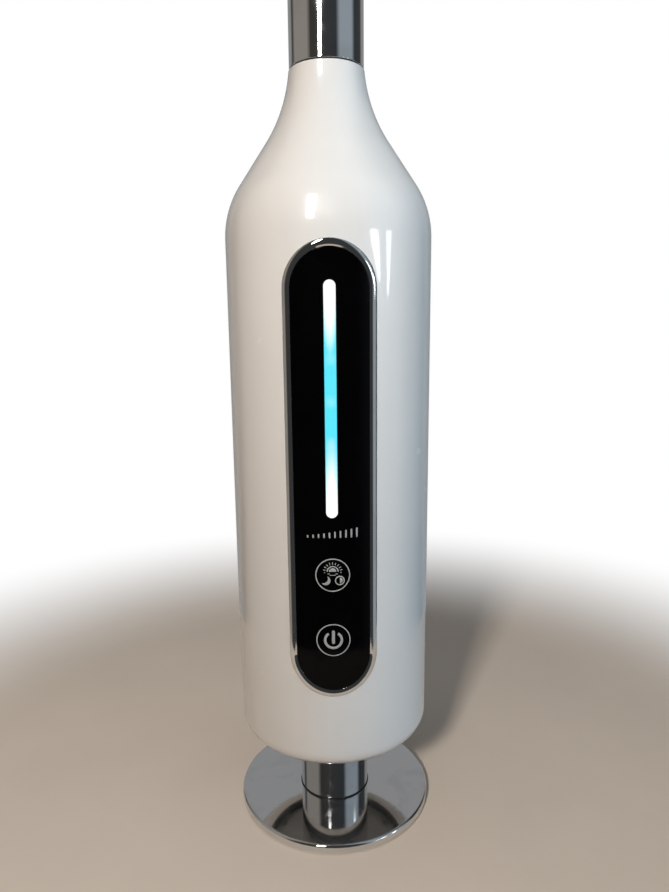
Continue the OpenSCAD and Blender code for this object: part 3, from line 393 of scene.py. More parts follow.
def uneven_tone(tree, given, place):
    """Soft cloudy variation between two values."""
    cloud = noise(tree, place, given["Scale"], Detail=5.0, Roughness=0.6)
    return scaled(tree, cloud, 0.3, 0.7, min=given["Low"], max=given["High"])


def hairlines(tree, given, place):
    """Sparse wiping marks: two slants of long narrow noise, kept where they peak."""
    sets = []
    for slant, stretch in ((0.5, 34.0), (-0.9, 46.0)):
        lean = {"Rotation": (slant, 0.35 * slant, 0.7 * slant), "Scale": (1.0, stretch, 1.3)}
        turn = add(tree, "Mapping", {"Vector": place, **lean})
        streak = noise(tree, turn, given["Scale"], Detail=2.0, Roughness=0.55)
        sets.append(scaled(tree, streak, 0.66, 0.74))
    return calc(tree, "MULTIPLY", calc(tree, "MAXIMUM", *sets), given["Amount"])


def hand_smudges(tree, given, place):
    """Faint hand marks: warped noise, cut off into separate soft spots."""
    patch = noise(tree, place, given["Scale"], Detail=3.0, Distortion=1.2)
    return calc(tree, "MULTIPLY", scaled(tree, patch, 0.5, 0.72, "SMOOTHSTEP"), given["Amount"])


def fine_grain(tree, given, place):
    """Small even relief: two layers of fine noise."""
    fine = noise(tree, place, calc(tree, "MULTIPLY", given["Scale"], 2.7), Detail=1.0)
    return calc(tree, "ADD", noise(tree, place, given["Scale"], Detail=2.0), fine)


TONE, HAIRS, SMUDGES, GRAIN = "Uneven tone", "Hairlines", "Hand smudges", "Fine grain"
EFFECTS = {
    TONE: (uneven_tone, {"Scale": 40.0, "Low": 0.0, "High": 1.0}, "Value"),
    HAIRS: (hairlines, {"Scale": 30.0, "Amount": 0.35}, "Mask"),
    SMUDGES: (hand_smudges, {"Scale": 25.0, "Amount": 1.0}, "Mask"),
    GRAIN: (fine_grain, {"Scale": 800.0}, "Height"),
}


def make_effect(name):
    """Builds the node group of a shared effect."""
    build, inputs, output = EFFECTS[name]
    tree = bpy.data.node_groups.new(name, "ShaderNodeTree")
    for label, value in inputs.items():
        socket = tree.interface.new_socket(label, in_out="INPUT", socket_type="NodeSocketFloat")
        socket.default_value = value
    tree.interface.new_socket(output, in_out="OUTPUT", socket_type="NodeSocketFloat")
    given = tree.nodes.new("NodeGroupInput").outputs
    feed(tree, tree.nodes.new("NodeGroupOutput"), {output: build(tree, given, object_place(tree))})
    return tree


def use(tree, name, *values):
    """Puts a shared effect, made once, into a finish, with the values of its inputs in order."""
    node = tree.nodes.new("ShaderNodeGroup")
    node.node_tree = bpy.data.node_groups.get(name) or make_effect(name)
    feed(tree, node, dict(enumerate(values)))
    return node.outputs[0]


# Finishes


def start_finish(name):
    """Starts a material, and returns it with its nodes and its shader."""
    material = bpy.data.materials.new(name)
    material.use_nodes = True
    tree = material.node_tree
    return material, tree, tree.nodes["Principled BSDF"]


def make_finish(name, build, values):
    """Makes a material from a function that gives its shader's sockets."""
    material, tree, shader = start_finish(name)
    feed(tree, shader, build(tree, *values))
    return material


def shade(tree, colour, amount, mask):
    """Varies a colour towards a darker one, by a mask."""
    return blend(tree, mask, colour, [part * (1.0 - amount) for part in colour])


def relief(tree, height, depth, strength):
    """Bumps the surface by a height, in metres at full strength."""
    return add(tree, "Bump", {"Height": height, "Strength": strength, "Distance": depth})


def layered(tree, colour, spread, mask, rough, bump=None, **constants):
    """Shared effects: a mask darkens the colour by up to the spread, others add up to the roughness, and
    grain of a scale, depth and strength bumps the surface."""
    sockets = {key.replace("_", " "): value for key, value in constants.items()}
    sockets["Base Color"] = shade(tree, colour, spread, use(tree, *mask))
    sockets["Roughness"] = total(tree, *(use(tree, *effect) for effect in rough))
    if bump:
        sockets["Normal"] = relief(tree, use(tree, GRAIN, bump[0]), *bump[1:])
    return sockets


def lacquer(tree, colour, recess, ceiling):
    """Gloss lacquer: slight orange peel under a clear coat, with painted shade: the wall of the recess in the
    underside is darkened to near black.
    """
    rough = (TONE, 60.0, 0.20, 0.27), (SMUDGES, 30.0, 0.02)
    gloss = {"Coat_Weight": 1.0, "Coat_Roughness": 0.03, "Specular_IOR_Level": 0.3}
    sockets = layered(tree, colour, 0.035, (TONE, 22.0), rough, (420.0, 0.00003, 0.12), **gloss)
    # painted shade: a near-black tone laid on the recess wall, where little light reaches
    place, recess_shade_tone = object_place(tree), (0.10, 0.10, 0.105)
    flat = add(tree, "VectorMath", {0: place, 1: (1.0, 1.0, 0.0)}, operation="MULTIPLY")
    reach = add(tree, "VectorMath", {0: flat}, operation="LENGTH")
    within = scaled(tree, reach, recess + 1.6 * MM, recess + 1.0 * MM)
    below = scaled(tree, axes(tree, place)["Z"], ceiling + 0.8 * MM, ceiling + 0.2 * MM)
    # mask of the painted shade: inside the recess radius and below the recess ceiling
    painted_recess_shade = calc(tree, "MULTIPLY", within, below)
    return sockets | {"Base Color": blend(tree, painted_recess_shade, sockets["Base Color"], recess_shade_tone)}


def polished(tree, colour, least, most, haze=0.05, wave=0.03):
    """Polished plating: near mirror, with wiping marks, hand marks and a faint waviness."""
    rough = (TONE, 90.0, least, most), (HAIRS, 26.0, 0.10), (SMUDGES, 38.0, haze)
    return layered(tree, colour, 0.10, (SMUDGES, 45.0, 0.8), rough, (900.0, 0.00002, wave), Metallic=1.0)


def worked(tree, colour, least, most, scale):
    """Turned, drawn or cast metal: dull tone variation and a fine grain."""
    rough = (TONE, 2.4 * scale, least, most), (HAIRS, 40.0, 0.15)
    return layered(tree, colour, 0.28, (TONE, scale), rough, (12.0 * scale, 0.00006, 0.2), Metallic=1.0)


def moulded(tree, colour, least, most, scale, spread=0.10, coat=0.0, subsurface=0.0):
    """Moulded plastic, rubber or ceramic: fine grain, slight tone variation and handling gloss."""
    rough = (TONE, 3.0 * scale, least, most), (SMUDGES, 60.0, 0.06)
    under = {"Coat_Weight": coat, "Subsurface_Weight": subsurface, "Subsurface_Scale": 0.002}
    return layered(tree, colour, spread, (TONE, scale), rough, (1500.0, 0.00005, 0.15), **under)


def panel_glass(tree, colour):
    """Black touch glass: deep gloss with faint finger marks."""
    rough = (TONE, 120.0, 0.05, 0.09), (SMUDGES, 70.0, 0.16)
    return layered(tree, colour, 0.5, (TONE, 50.0), rough, IOR=1.48, Specular_IOR_Level=0.1)


def print_ink(tree, colour):
    """Dull grey ink with a slightly uneven cover."""
    return layered(tree, colour, 0.25, (TONE, 900.0), [(TONE, 700.0, 0.4, 0.55)], IOR=1.45)


def lit_slider(tree, end, middle, foot, top, half):
    """Lit diffuser: white at both ends and coloured between, by height, with the white further in along
    the middle line, and a lighter spot over each LED."""
    axis = axes(tree, object_place(tree))
    height = scaled(tree, axis["Z"], foot, top, min=-0.5, max=0.5)
    core = calc(tree, "SUBTRACT", 1.0, calc(tree, "POWER", calc(tree, "DIVIDE", axis["X"], half), 2.0))
    pull = scaled(tree, core, 0.0, 1.0, min=0.70, max=1.0)
    soft = [0.55 * e + 0.45 * m for e, m in zip(end, middle)]
    colours = end, end, soft, middle, middle, soft, end, end
    stops = tuple(zip((0.0, 0.17, 0.25, 0.36, 0.69, 0.76, 0.825, 1.0), colours))
    glow = ramp(tree, calc(tree, "MULTIPLY_ADD", height, pull, 0.5), stops)
    wave = calc(tree, "SINE", calc(tree, "MULTIPLY", axis["Z"], 2 * pi / LED_PITCH))
    spot = calc(tree, "MULTIPLY", scaled(tree, wave, 0.5, 1.0, max=0.14), core, clamp=True)
    return {
        "Emission Color": blend(tree, spot, glow, end), "Emission Strength": 1.0, "Roughness": 0.3,
        "Base Color": shade(tree, (0.10, 0.12, 0.13), 0.2, use(tree, TONE, 300.0)),
    }


def pressed_felt(tree, colour):
    """Pressed felt: short tangled fibres as fine stretched noise, in tone and in relief."""
    place = object_place(tree)
    fibres = []
    for stretch in ((1.0, 5.0, 1.0), (5.0, 1.0, 1.0)):
        turn = add(tree, "Mapping", {"Vector": place, "Scale": stretch, "Rotation": (0.0, 0.0, 0.6)})
        fibres.append(noise(tree, turn, 700.0, Detail=3.0, Distortion=0.8))
    tangle = total(tree, *fibres)
    return {
        "Base Color": shade(tree, [1.6 * part for part in colour], 0.6, scaled(tree, tangle, 0.7, 1.3)),
        "Normal": relief(tree, tangle, 0.0003, 0.7), "Roughness": 0.95,
        "Sheen Weight": 0.35, "Sheen Roughness": 0.6,
    }


def circuit_board(tree, colour):
    """Circuit board: solder mask over a faint weave of copper tracks."""
    turn = add(tree, "Mapping", {"Vector": object_place(tree), "Rotation": (radians(90), 0.0, 0.0)})
    tracks = add(tree, "TexBrick", {
        "Vector": turn, "Color1": colour, "Color2": [0.8 * part for part in colour],
        "Mortar": [1.7 * part for part in colour], "Scale": 90.0, "Mortar Size": 0.05, "Brick Width": 0.7,
        "Row Height": 0.22,
    })
    return {
        "Base Color": tracks, "Roughness": use(tree, TONE, 200.0, 0.3, 0.45), "Coat Weight": 0.2,
        "Normal": relief(tree, tracks.node.outputs["Fac"], 0.00004, 0.3),
    }


def lamp_finishes(scene):
    """Every finish by the record's material slot, made once."""
    sizes, colours = scene.lamp_sizes, scene.lamp_colours
    guide_foot, guide_half, guide_top = (length * MM for length in ends("light_guide"))
    kinds = {
        pressed_felt: {"felt": (colours.felt,)},
        polished: {
            "chrome": (colours.chrome, 0.035, 0.06),
            "nickel": ((0.66, 0.64, 0.60), 0.16, 0.26, 0.10, 0.10),
        },
        lacquer: {
            # the recess radius and ceiling place the painted shade inside the recess of the underside
            "white_body": (
                colours.lacquer, sizes.recess_radius, low("body_shell")[2] * MM + sizes.recess_depth,
            ),
        },
        panel_glass: {"black_glass": (colours.panel,)},
        lit_slider: {
            "light_guide": (colours.slider_end, colours.slider_middle, guide_foot, guide_top, guide_half),
        },
        circuit_board: {"circuit_board": ((0.02, 0.14, 0.06),)},
        worked: {
            "steel": ((0.56, 0.57, 0.58), 0.26, 0.40, 60.0),
            "brass": ((0.78, 0.60, 0.28), 0.24, 0.38, 60.0),
            "ballast": ((0.23, 0.23, 0.235), 0.55, 0.75, 35.0),
            "copper": ((0.72, 0.34, 0.17), 0.28, 0.4, 90.0),
            "can": ((0.60, 0.62, 0.66), 0.24, 0.34, 70.0),
            "aluminium": ((0.70, 0.71, 0.72), 0.32, 0.45, 55.0),
        },
        moulded: {
            "acetal": ((0.78, 0.75, 0.66), 0.42, 0.55, 60.0),
            "grey_plate": ((0.42, 0.42, 0.425), 0.38, 0.5, 45.0, 0.15),
            "black_plastic": ((0.022, 0.022, 0.024), 0.35, 0.5, 60.0, 0.3),
            "gasket": ((0.018, 0.018, 0.019), 0.6, 0.75, 120.0, 0.3),
            "led": ((0.80, 0.72, 0.36), 0.3, 0.45, 400.0),
            "core": ((0.06, 0.06, 0.062), 0.5, 0.7, 90.0, 0.3),
            "green_plastic": ((0.04, 0.24, 0.10), 0.38, 0.5, 80.0, 0.15),
            "ribbon": ((0.50, 0.50, 0.51), 0.45, 0.6, 150.0, 0.2),
            "lead": ((0.16, 0.09, 0.05), 0.45, 0.6, 120.0, 0.2),
            "porcelain": ((0.80, 0.79, 0.75), 0.12, 0.22, 50.0, 0.06, 0.4),
            "black_insulator": ((0.012, 0.012, 0.014), 0.15, 0.3, 80.0, 0.3, 0.3),
            "bulb_white": ((0.78, 0.77, 0.75), 0.32, 0.42, 55.0, 0.05),
            "opal": (colours.opal, 0.26, 0.34, 26.0, 0.03, 0.0, 0.25),
        },
    }
    return {
        slot: bpy.data.materials.get(slot + "_finish") or make_finish(slot + "_finish", build, values)
        for build, slots in kinds.items() for slot, values in slots.items()
    }


# Body


def body_profile(sizes, foot):
    """Half outline (r, z) of the bottle, from the recess in its underside outwards, up the side, over the
    shoulder's arc and cone, in along the hollow sweep and over the top of the neck."""
    radius, edge, slope = sizes.body_radius / MM, sizes.bottom_edge / MM, sizes.shoulder_slope
    shoulder, sweep, neck = sizes.shoulder_radius / MM, sizes.sweep_radius / MM, sizes.neck_radius / MM
    recess, depth, hole = sizes.recess_radius / MM, sizes.recess_depth / MM, sizes.neck_hole / MM
    recess_edge, lip, drop = 0.6, 0.35, sizes.neck_drop / MM
    side_foot, side_top = foot + edge, foot + sizes.straight_side / MM
    cone = (radius - shoulder + shoulder * cos(slope) - neck - sweep + sweep * cos(slope)) / sin(slope)
    upright = side_top + (shoulder + sweep) * sin(slope) + cone * cos(slope)
    under, _ = rounded([(recess, foot + depth), (recess, foot), (radius - edge, foot)], [recess_edge], 5)
    bottom = arc((radius - edge, side_foot), edge, -pi / 2, 0.0, 14)[1:]
    side = stack(radius, np.linspace(side_foot, side_top, 62)[1:])
    bulge = arc((radius - shoulder, side_top), shoulder, 0.0, slope, 18)[1:]
    hollow = arc((neck + sweep, upright), sweep, pi + slope, pi + atan2(drop + lip, sweep), 26)
    straight = np.linspace(bulge[-1], hollow[0], 8)[1:-1]
    top = arc((hollow[-1, 0] - lip, hollow[-1, 1]), lip, 0.0, pi / 2, 5)[1:]
    inward = np.linspace(top[-1], (hole, top[-1, 1]), 6)[1:]
    return join(under, bottom, side, bulge, straight, hollow, top, inward)


def open_patch(angle, heights, radius, hole):
    """Surface between a hole and a rectangle on the straight side: each point of the rectangle is drawn
    straight towards the hole's middle line, as far as its edge."""
    width, height, middle = hole
    u = radius * np.sin(angle)
    left, right = (stack(x, heights)[1:-1] for x in (u[0], u[-1]))
    foot, top = (stack(u, z) for z in (heights[0], heights[-1]))
    frame_line = join(foot, right, top[::-1], left[::-1])
    half = (height - width) / 2
    spine = stack(0.0, middle + np.clip(frame_line[:, 1] - middle, -half, half))
    rim = spine + unit(frame_line - spine) * width / 2
    flat = between(rim, frame_line, (0.0, 0.05, 0.3, 0.65, 1.0))
    return on_front(flat, radius), grid_faces(*flat.shape[:2])[:, ::-1]


class LAMP_OT_body(bpy.types.Operator):
    """White bottle-shaped shell with the window for the panel and the hole for the cord inlet"""

    bl_idname = "lamp.body"
    bl_label = "Body"

    def execute(self, context):
        sizes = context.scene.lamp_sizes
        path = body_profile(sizes, low("body_shell")[2])
        count, radius, lip = 192, sizes.body_radius / MM, sizes.bezel_lip / MM
        spots, faces, _ = turned((path, np.zeros_like(path)), count)
        width, height, middle = front_size("bezel")
        window = (width - 2 * lip, height - 2 * lip, middle)
        inlet_radius = 6.1
        inlet = (2 * inlet_radius, 2 * inlet_radius, front_size("cord_gland")[2])
        straight = np.isclose(path[:, 0], radius)
        patches, cut = [], np.zeros(len(faces), bool)
        row, column = np.divmod(np.arange(len(faces)), count)
        front, back = (1, 1, 1), (-1, -1, 1)
        openings = (0, front, 14, window, 2.0), (count // 2, back, 7, inlet, 3.0)
        for start, facing, reach, hole, clear in openings:
            below = np.flatnonzero(straight & (path[:, 1] < hole[2] - hole[1] / 2 - clear))[-1]
            above = np.flatnonzero(straight & (path[:, 1] > hole[2] + hole[1] / 2 + clear))[0]
            offset = (column - start + count // 2) % count - count // 2
            cut |= (row >= below) & (row < above) & (offset >= -reach) & (offset < reach)
            angle = np.arange(-reach, reach + 1) * 2 * pi / count
            patch, cells = open_patch(angle, path[below:above + 1, 1], radius, hole)
            patches.append((patch * facing, cells))
        surfaces = [(spots, faces[~cut]), *patches]
        shell = solid("body_white", surfaces, "lamp_body", "white_body", ["body_shell"])
        wall = shell.modifiers.new("Wall", "SOLIDIFY")
        wall.thickness = sizes.body_wall
        wall.offset = -1.0
        wall.use_even_offset = True
        return {"FINISHED"}


# Foot and stem


class LAMP_OT_foot(bpy.types.Operator):
    """Mirror foot plate, the felt under it and the dark glide ring on it"""

    bl_idname = "lamp.foot"
    bl_label = "Foot"

    def execute(self, context):
        plate = ring("foot_plate", 0, [0.4, 1.6], 10)
        solid("foot_mirror", [turned(plate, 256)], "foot", "chrome", ["foot_plate"])
        pad = ring("foot_pad", 0, [0.25, 0.1], 4)
        felt = solid("foot_felt", [turned(pad)], "foot", "felt", ["foot_pad"])
        glide_wall = 2.2
        glide = ring("stem_ring", high("stem_ring")[0] - glide_wall, [0.1, 0.2, 0.1], 4)
        solid("glide_ring", [turned(glide)], "foot", "black_plastic", ["stem_ring"])
        return {"FINISHED"}


class LAMP_OT_stem(bpy.types.Operator):
    """Chrome stem with its flange inside the body"""

    bl_idname = "lamp.stem"
    bl_label = "Stem"

    def execute(self, context):
        foot, flange, top = ends("stem_tube")
        outer, bore, wall, flange_height = 18.6, 15.1, 1.5, 2.0
        step, seat, inner = high("swivel_bush")[2], top - flange_height, outer - wall
        path = rounded(
            [(inner, foot), (outer, foot), (outer, seat), (flange, seat), (flange, top), (bore, top),
             (bore, step), (inner, step), (inner, foot)],
            [0.35, 0.05, 0.3, 0.3, 0.3, 0.05, 0.05], 5,
        )
        solid("stem_chrome", [turned(path)], "lamp_body", "chrome", ["stem_tube"])
        return {"FINISHED"}


# Touch panel


class LAMP_OT_bezel(bpy.types.Operator):
    """Bright crowned band around the panel, with its skirt in the window"""

    bl_idname = "lamp.bezel"
    bl_label = "Bezel"

    def execute(self, context):
        sizes = context.scene.lamp_sizes
        width, height, middle = front_size("bezel")
        band, lip, radius = sizes.bezel_band / MM, sizes.bezel_lip / MM, sizes.body_radius / MM
        crest, clear, skirt_depth = 51.0, 0.1, 4.0
        proud, shy, foot, crown_turn = crest - radius, 0.2, 0.42, radians(128)
        edge = outline(width - band, height - band, middle)
        # Section: an ellipse over the band, which ends past its crest, and a straight bevel down to the glass
        over = np.linspace(0, crown_turn, 21)
        crown = stack(band / 2 * np.cos(over), shy + (proud - shy) * np.sin(over))
        lean = unit(stack(np.cos(over) / band * 2, np.sin(over) / (proud - shy)))
        ease = np.array([0.02, 0.01])
        bevel = np.stack([crown[-1] - ease, (-band / 2, foot) + ease])
        fall = unit(np.array([(foot - crown[-1, 1], crown[-1, 0] + band / 2)] * 2))
        skirt, seat, step = band / 2 - lip - clear, 0.01, 0.05
        outer_foot = [(skirt, -skirt_depth), (skirt, seat), (band / 2, seat)]
        inner_foot = [(-band / 2, foot - step), (-band / 2, -skirt_depth)]
        path = join(outer_foot, crown, bevel, inner_foot)
        side = join([(1, 0), (0.7, -0.7), (1, 0)], lean, fall, [(-1, 0), (-1, 0)])
        solid("bezel_chrome", [carried((path, side), edge, radius)], "lamp_body", "chrome", ["bezel"])
        return {"FINISHED"}


class LAMP_OT_panel(bpy.types.Operator):
    """Black touch glass with the slot for the slider, and the lit slider in it"""

    bl_idname = "lamp.panel"
    bl_label = "Touch glass and slider"

    def execute(self, context):
        width, height, middle = front_size("light_guide")
        glass_depth, guide_depth, clear = 2.0, 8.0, 0.2
        outer, out = outline(*front_size("touch_glass"))
        slot, _ = outline(width + clear, height + clear, middle)
        # Rows lead straight from the slot's outline to the outer one, rounded over at both, and back
        # below the face
        spread = join(np.zeros(3), np.linspace(0, 1, 9), np.ones(3))
        inset = np.array([0, 0, -0.06, -0.16, *np.zeros(7), 0.3, 0.1, 0, 0])
        rise = PANEL_FACE - np.array([glass_depth, 0.16, 0.04, *np.zeros(9), 0.1, 0.3, glass_depth])
        tip = np.array([-1, -1, -0.7, *np.zeros(9), 0.7, 1, 1])
        lift = np.array([0, 0, 0.7, *np.ones(9), 0.7, 0, 0])
        flat = between(slot, outer, spread) - inset[:, None, None] * out
        spots, ways = on_front(flat, rise[:, None], tip[:, None, None] * out, lift[:, None])
        glass = spots, grid_faces(*flat.shape[:2], wrap_rows=True)[:, ::-1], ways
        solid("panel_glass", [glass], "lamp_body", "black_glass", ["touch_glass"])

        # Rows lead straight from the middle line to the slider's outline and back at a greater depth
        edge, _ = outline(width, height, middle)
        spine, _ = outline(0.0, height - width, middle)
        rise = PANEL_FACE - np.array([0.0, 0.0, 0.0, 0.03, 0.15, *np.full(3, guide_depth)])
        flat = between(spine, edge, (0.0, 0.5, 0.9, 0.97, 1.0, 1.0, 0.5, 0.0))
        guide = on_front(flat, rise[:, None]), grid_faces(*flat.shape[:2])[:, ::-1]
        solid("slider_light", [guide], "lamp_body", "light_guide", ["light_guide"])
        return {"FINISHED"}


def ruled(first, second):
    """Flat strip between two lines, straight from each point of one to its partner."""
    flat = np.stack([first, second])
    return flat, grid_faces(*flat.shape[:2], wrap_columns=False)


def sector(centre, inner, outer, start, end, steps):
    """Part of a flat ring about a centre, between two radii and two angles in degrees."""
    turn = (radians(start), radians(end))
    return ruled(arc(centre, outer, *turn, steps), arc(centre, inner, *turn, steps))


def stroke(start, end, width):
    """Straight line with round ends: two half outlines of an obround, from tip to tip."""
    start, end = np.array(start, float), np.array(end, float)
    way = unit(end - start)
    opening, closing = np.linspace(0, pi / 2, 10)[:, None], np.linspace(pi / 2, 0, 10)[:, None]
    line = join(start - width / 2 * np.cos(opening) * way, end + width / 2 * np.cos(closing) * way)
    swell = np.sin(join(opening, closing)) * width / 2 * np.array([way[1], -way[0]])
    return ruled(line + swell, line - swell)


def crescent(centre, radius, shift, turn):
    """Moon: the part of a disc outside a second one of the same radius, shifted along a direction."""
    open_half = np.arccos(shift / 2 / radius)
    mid, steps = radians(turn), 30
    outer = arc(centre, radius, mid + open_half, mid + 2 * pi - open_half, steps)
    second = (centre[0] + shift * cos(mid), centre[1] + shift * sin(mid))
    return ruled(outer, arc(second, radius, mid + pi - open_half, mid + pi + open_half, steps))


class LAMP_OT_signs(bpy.types.Operator):
    """Printed signs: a ramp of dimmer ticks, a mode ring with sun, moon and half disc, and a power ring"""

    bl_idname = "lamp.signs"
    bl_label = "Panel signs"

    def execute(self, context):
        line, radius, fine, ink = context.scene.lamp_sizes.sign_line / MM, 8.0, 0.34, 0.06
        pad_radius, ramp_rise, ramp_half, power_open = 6.0, 18.1, 11.2, 34
        bar_foot, bar_top, bar_width = -1.2, 4.1, 1.45
        tick_least, tick_step, tick_width, ray_start, ray_end = 0.5, 0.36, 0.75, 3.5, 4.4
        power_z, mode_z = low("touch_pads")[2] + pad_radius, high("touch_pads")[2] - pad_radius
        parts = [sector((0, z), radius - line, radius, 0, 360, 72) for z in (mode_z, power_z)]
        foot = mode_z + ramp_rise
        for k, x in enumerate(np.linspace(-ramp_half, ramp_half, 10)):
            parts.append(stroke((x, foot), (x, foot + tick_least + tick_step * k), tick_width))
        parts.append(sector((0, power_z), 3.3, 4.5, 90 + power_open, 450 - power_open, 48))
        parts.append(stroke((0, power_z + bar_foot), (0, power_z + bar_top), bar_width))
        sun = mode_z + 1.7
        parts += [sector((0, sun), inner, outer, 0, 180, 24) for inner, outer in ((0.0, 1.75), (2.25, 2.8))]
        for turn in np.radians(np.linspace(12, 168, 9)):
            ray = np.array([cos(turn), sin(turn)])
            parts.append(stroke(ray * ray_start + (0, sun), ray * ray_end + (0, sun), fine))
        for drop, reach in ((0.35, 3.9), (1.05, 2.2), (1.7, 1.2)):
            parts.append(stroke((-reach, sun - drop), (reach, sun - drop), fine))
        moon, disc = (-3.25, mode_z - 2.6), (3.25, mode_z - 2.6)
        parts.append(crescent(moon, 2.2, 1.5, 140))
        parts += [sector(disc, 1.75, 2.25, 0, 360, 40), sector(disc, 0.0, 1.35, -90, 90, 24)]
        surfaces = [(on_front(flat, PANEL_FACE + ink / 2), faces) for flat, faces in parts]
        finish = make_finish("panel_print", print_ink, [context.scene.lamp_colours.print_grey])
        signs = solid("panel_print", surfaces, "lamp_body", "black_glass", finish=finish)
        skin = signs.modifiers.new("Ink", "SOLIDIFY")
        skin.thickness = ink * MM
        skin.offset = -1.0
        return {"FINISHED"}


# Neck, bulb and cord inlet


class LAMP_OT_neck(bpy.types.Operator):
    """Chrome collar on a dark gasket, and the black rim of the lampholder on top"""

    bl_idname = "lamp.neck"
    bl_label = "Neck"

    def execute(self, context):
        collar_wall, gasket_bore, rim_bore = 1.2, 13.0, 13.7
        collar_bore = high("neck_collar")[0] - collar_wall
        for name, node, inner, slot, foot_edge, top_edge in (
            ("neck_seal", "neck_gasket", gasket_bore, "gasket", 0.1, 0.1),
            ("collar_chrome", "neck_collar", collar_bore, "chrome", 0.3, 0.3),
            ("holder_ring", "holder_rim", rim_bore, "black_plastic", 0.15, 0.9),
        ):
            profile = ring(node, inner, [foot_edge, top_edge, top_edge / 2], 6)
            solid(name, [turned(profile)], "lamp_body", slot, [node])
        return {"FINISHED"}


class LAMP_OT_bulb(bpy.types.Operator):
    """Opal globe bulb: glass, white skirt and a screw cap with a real thread"""

    bl_idname = "lamp.bulb"
    bl_label = "Bulb"

    def execute(self, context):
        foot, radius, top = ends("bulb_globe")
        wall = 1.2
        # Profile: an arc up to the pole, and one of a smaller radius about the same centre back down
        hollow, middle = radius - wall, top - radius
        outside = arc((0, middle), radius, np.arcsin((foot - middle) / radius), pi / 2, 90)
        inside = arc((0, middle), hollow, pi / 2, np.arcsin((foot - middle) / hollow), 60)
        outside[-1, 0] = inside[0, 0] = 0.0
        path = join(outside, inside, outside[:1])
        side = join(outside - (0, middle), (0, middle) - inside, outside[:1] - (0, middle))
        solid("globe_opal", [turned((path, unit(side)), 160)], "bulb", "opal", ["bulb_globe"])

        foot, wide, top = ends("bulb_skirt")
        cap_foot, narrow, cap_top = ends("bulb_cap")
        spigot, wall, flare, rim_gap, band_height = 11.5, 1.8, 0.9, 0.9, 4.0
        neck, band, bore = high("holder_rim")[2] + rim_gap, top - band_height, spigot - wall
        path = rounded(
            [(bore, foot), (spigot, foot), (spigot, cap_top), (narrow, cap_top), (narrow, neck), (wide, band),
             (wide, top), (0, top), (0, top - wall), (wide - wall, top - wall), (wide - wall, band + flare),
             (narrow - wall, neck), (bore, cap_top), (bore, foot)],
            [0.1, 0.1, 0.15, 1.2, 6.0, 0.4, 0.0, 0.0, 0.2, 0.4, 0.4, 0.4], 6,
        )
        solid("bulb_skirt_white", [turned(path)], "bulb", "bulb_white", ["bulb_skirt"])

        pitch = context.scene.lamp_sizes.thread_pitch / MM
        depth, sheet, count, rows, lead_in, run_out, soft = 0.9, 0.6, 144, 120, 0.6, 2.4, 2.0
        root = narrow - depth
        # Radius at the height z and the angle a: the root plus the depth times half of one plus the cosine of
        # (2 pi z / pitch - a), which fades at both ends
        angle = np.linspace(0, 2 * pi, count, endpoint=False)[None]
        z = np.linspace(cap_foot, cap_top, rows)[:, None]
        fade = np.clip((z - cap_foot - lead_in) / soft, 0, 1) * np.clip((cap_top - run_out - z) / soft, 0, 1)
        thread = root + depth * fade * (0.5 + 0.5 * np.cos(2 * pi * (z - cap_foot) / pitch - angle))
        radius, z = join(thread, np.full((2, count), root - sheet)), join(z, [[cap_top], [cap_foot]])
        points = stack(radius * np.cos(angle), radius * np.sin(angle), z)
        cap = points, grid_faces(rows + 2, count, wrap_rows=True)
        solid("bulb_thread", [cap], "bulb", "nickel", ["bulb_cap"])
        return {"FINISHED"}


class LAMP_OT_inlet(bpy.types.Operator):
    """Black cord gland in the back of the body: its flange, sleeve and bore"""

    bl_idname = "lamp.inlet"
    bl_label = "Cord inlet"

    def execute(self, context):
        (_, foot, _), (flange, top, _) = low("cord_gland"), high("cord_gland")
        sleeve, bore, seat = 6.0, 3.5, 49.2
        path = rounded(
            [(bore, foot), (sleeve, foot), (sleeve, seat), (flange, seat), (flange, top), (bore, top),
             (bore, foot)],
            [0.2, 0.05, 0.05, 0.9, 0.6], 6,
        )
        spots, faces, ways = turned(path, 96)
        about_y, lean = (rows[..., [0, 2, 1]] * (1, 1, -1) for rows in (spots, ways))
        about_y[..., 2] += front_size("cord_gland")[2]
        solid("cord_gland_black", [(about_y, faces, lean)], "lamp_body", "black_plastic", ["cord_gland"])
        return {"FINISHED"}


class LAMP_OT_inner(bpy.types.Operator):
    """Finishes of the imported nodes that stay: screws, plates, boards and the parts of the lampholder"""

    bl_idname = "lamp.inner"
    bl_label = "Inner parts"

    def execute(self, context):
        finishes = lamp_finishes(context.scene)
        slots = {part["node"]: part["material_slot"] for part in frame["record"]["subparts"]}
        for node, part in frame["nodes"].items():
            part.data.materials.clear()
            part.data.materials.append(finishes[slots[node]])
        return {"FINISHED"}


# Stage

WHITE = (1.0, 1.0, 1.0)


def reflected_only(name, surface, glow):
    """An object of the stage that only reflections show."""
    thing = make_object(name, [surface], glow)
    for ray in ("camera", "diffuse", "shadow", "transmission", "volume_scatter"):
        setattr(thing, "visible_" + ray, False)


def seen(tree):
    """One for rays that show a thing itself, none for those that only carry its light."""
    path = add(tree, "LightPath").node.outputs
    return total(tree, path["Is Camera Ray"], path["Is Glossy Ray"], path["Is Transmission Ray"])


def cover(tree, output, factor, first, second):
    """Mixes two shaders by a factor, and ends the tree with them."""
    feed(tree, tree.nodes[output], {"Surface": add(tree, "MixShader", {"Fac": factor, 1: first, 2: second})})


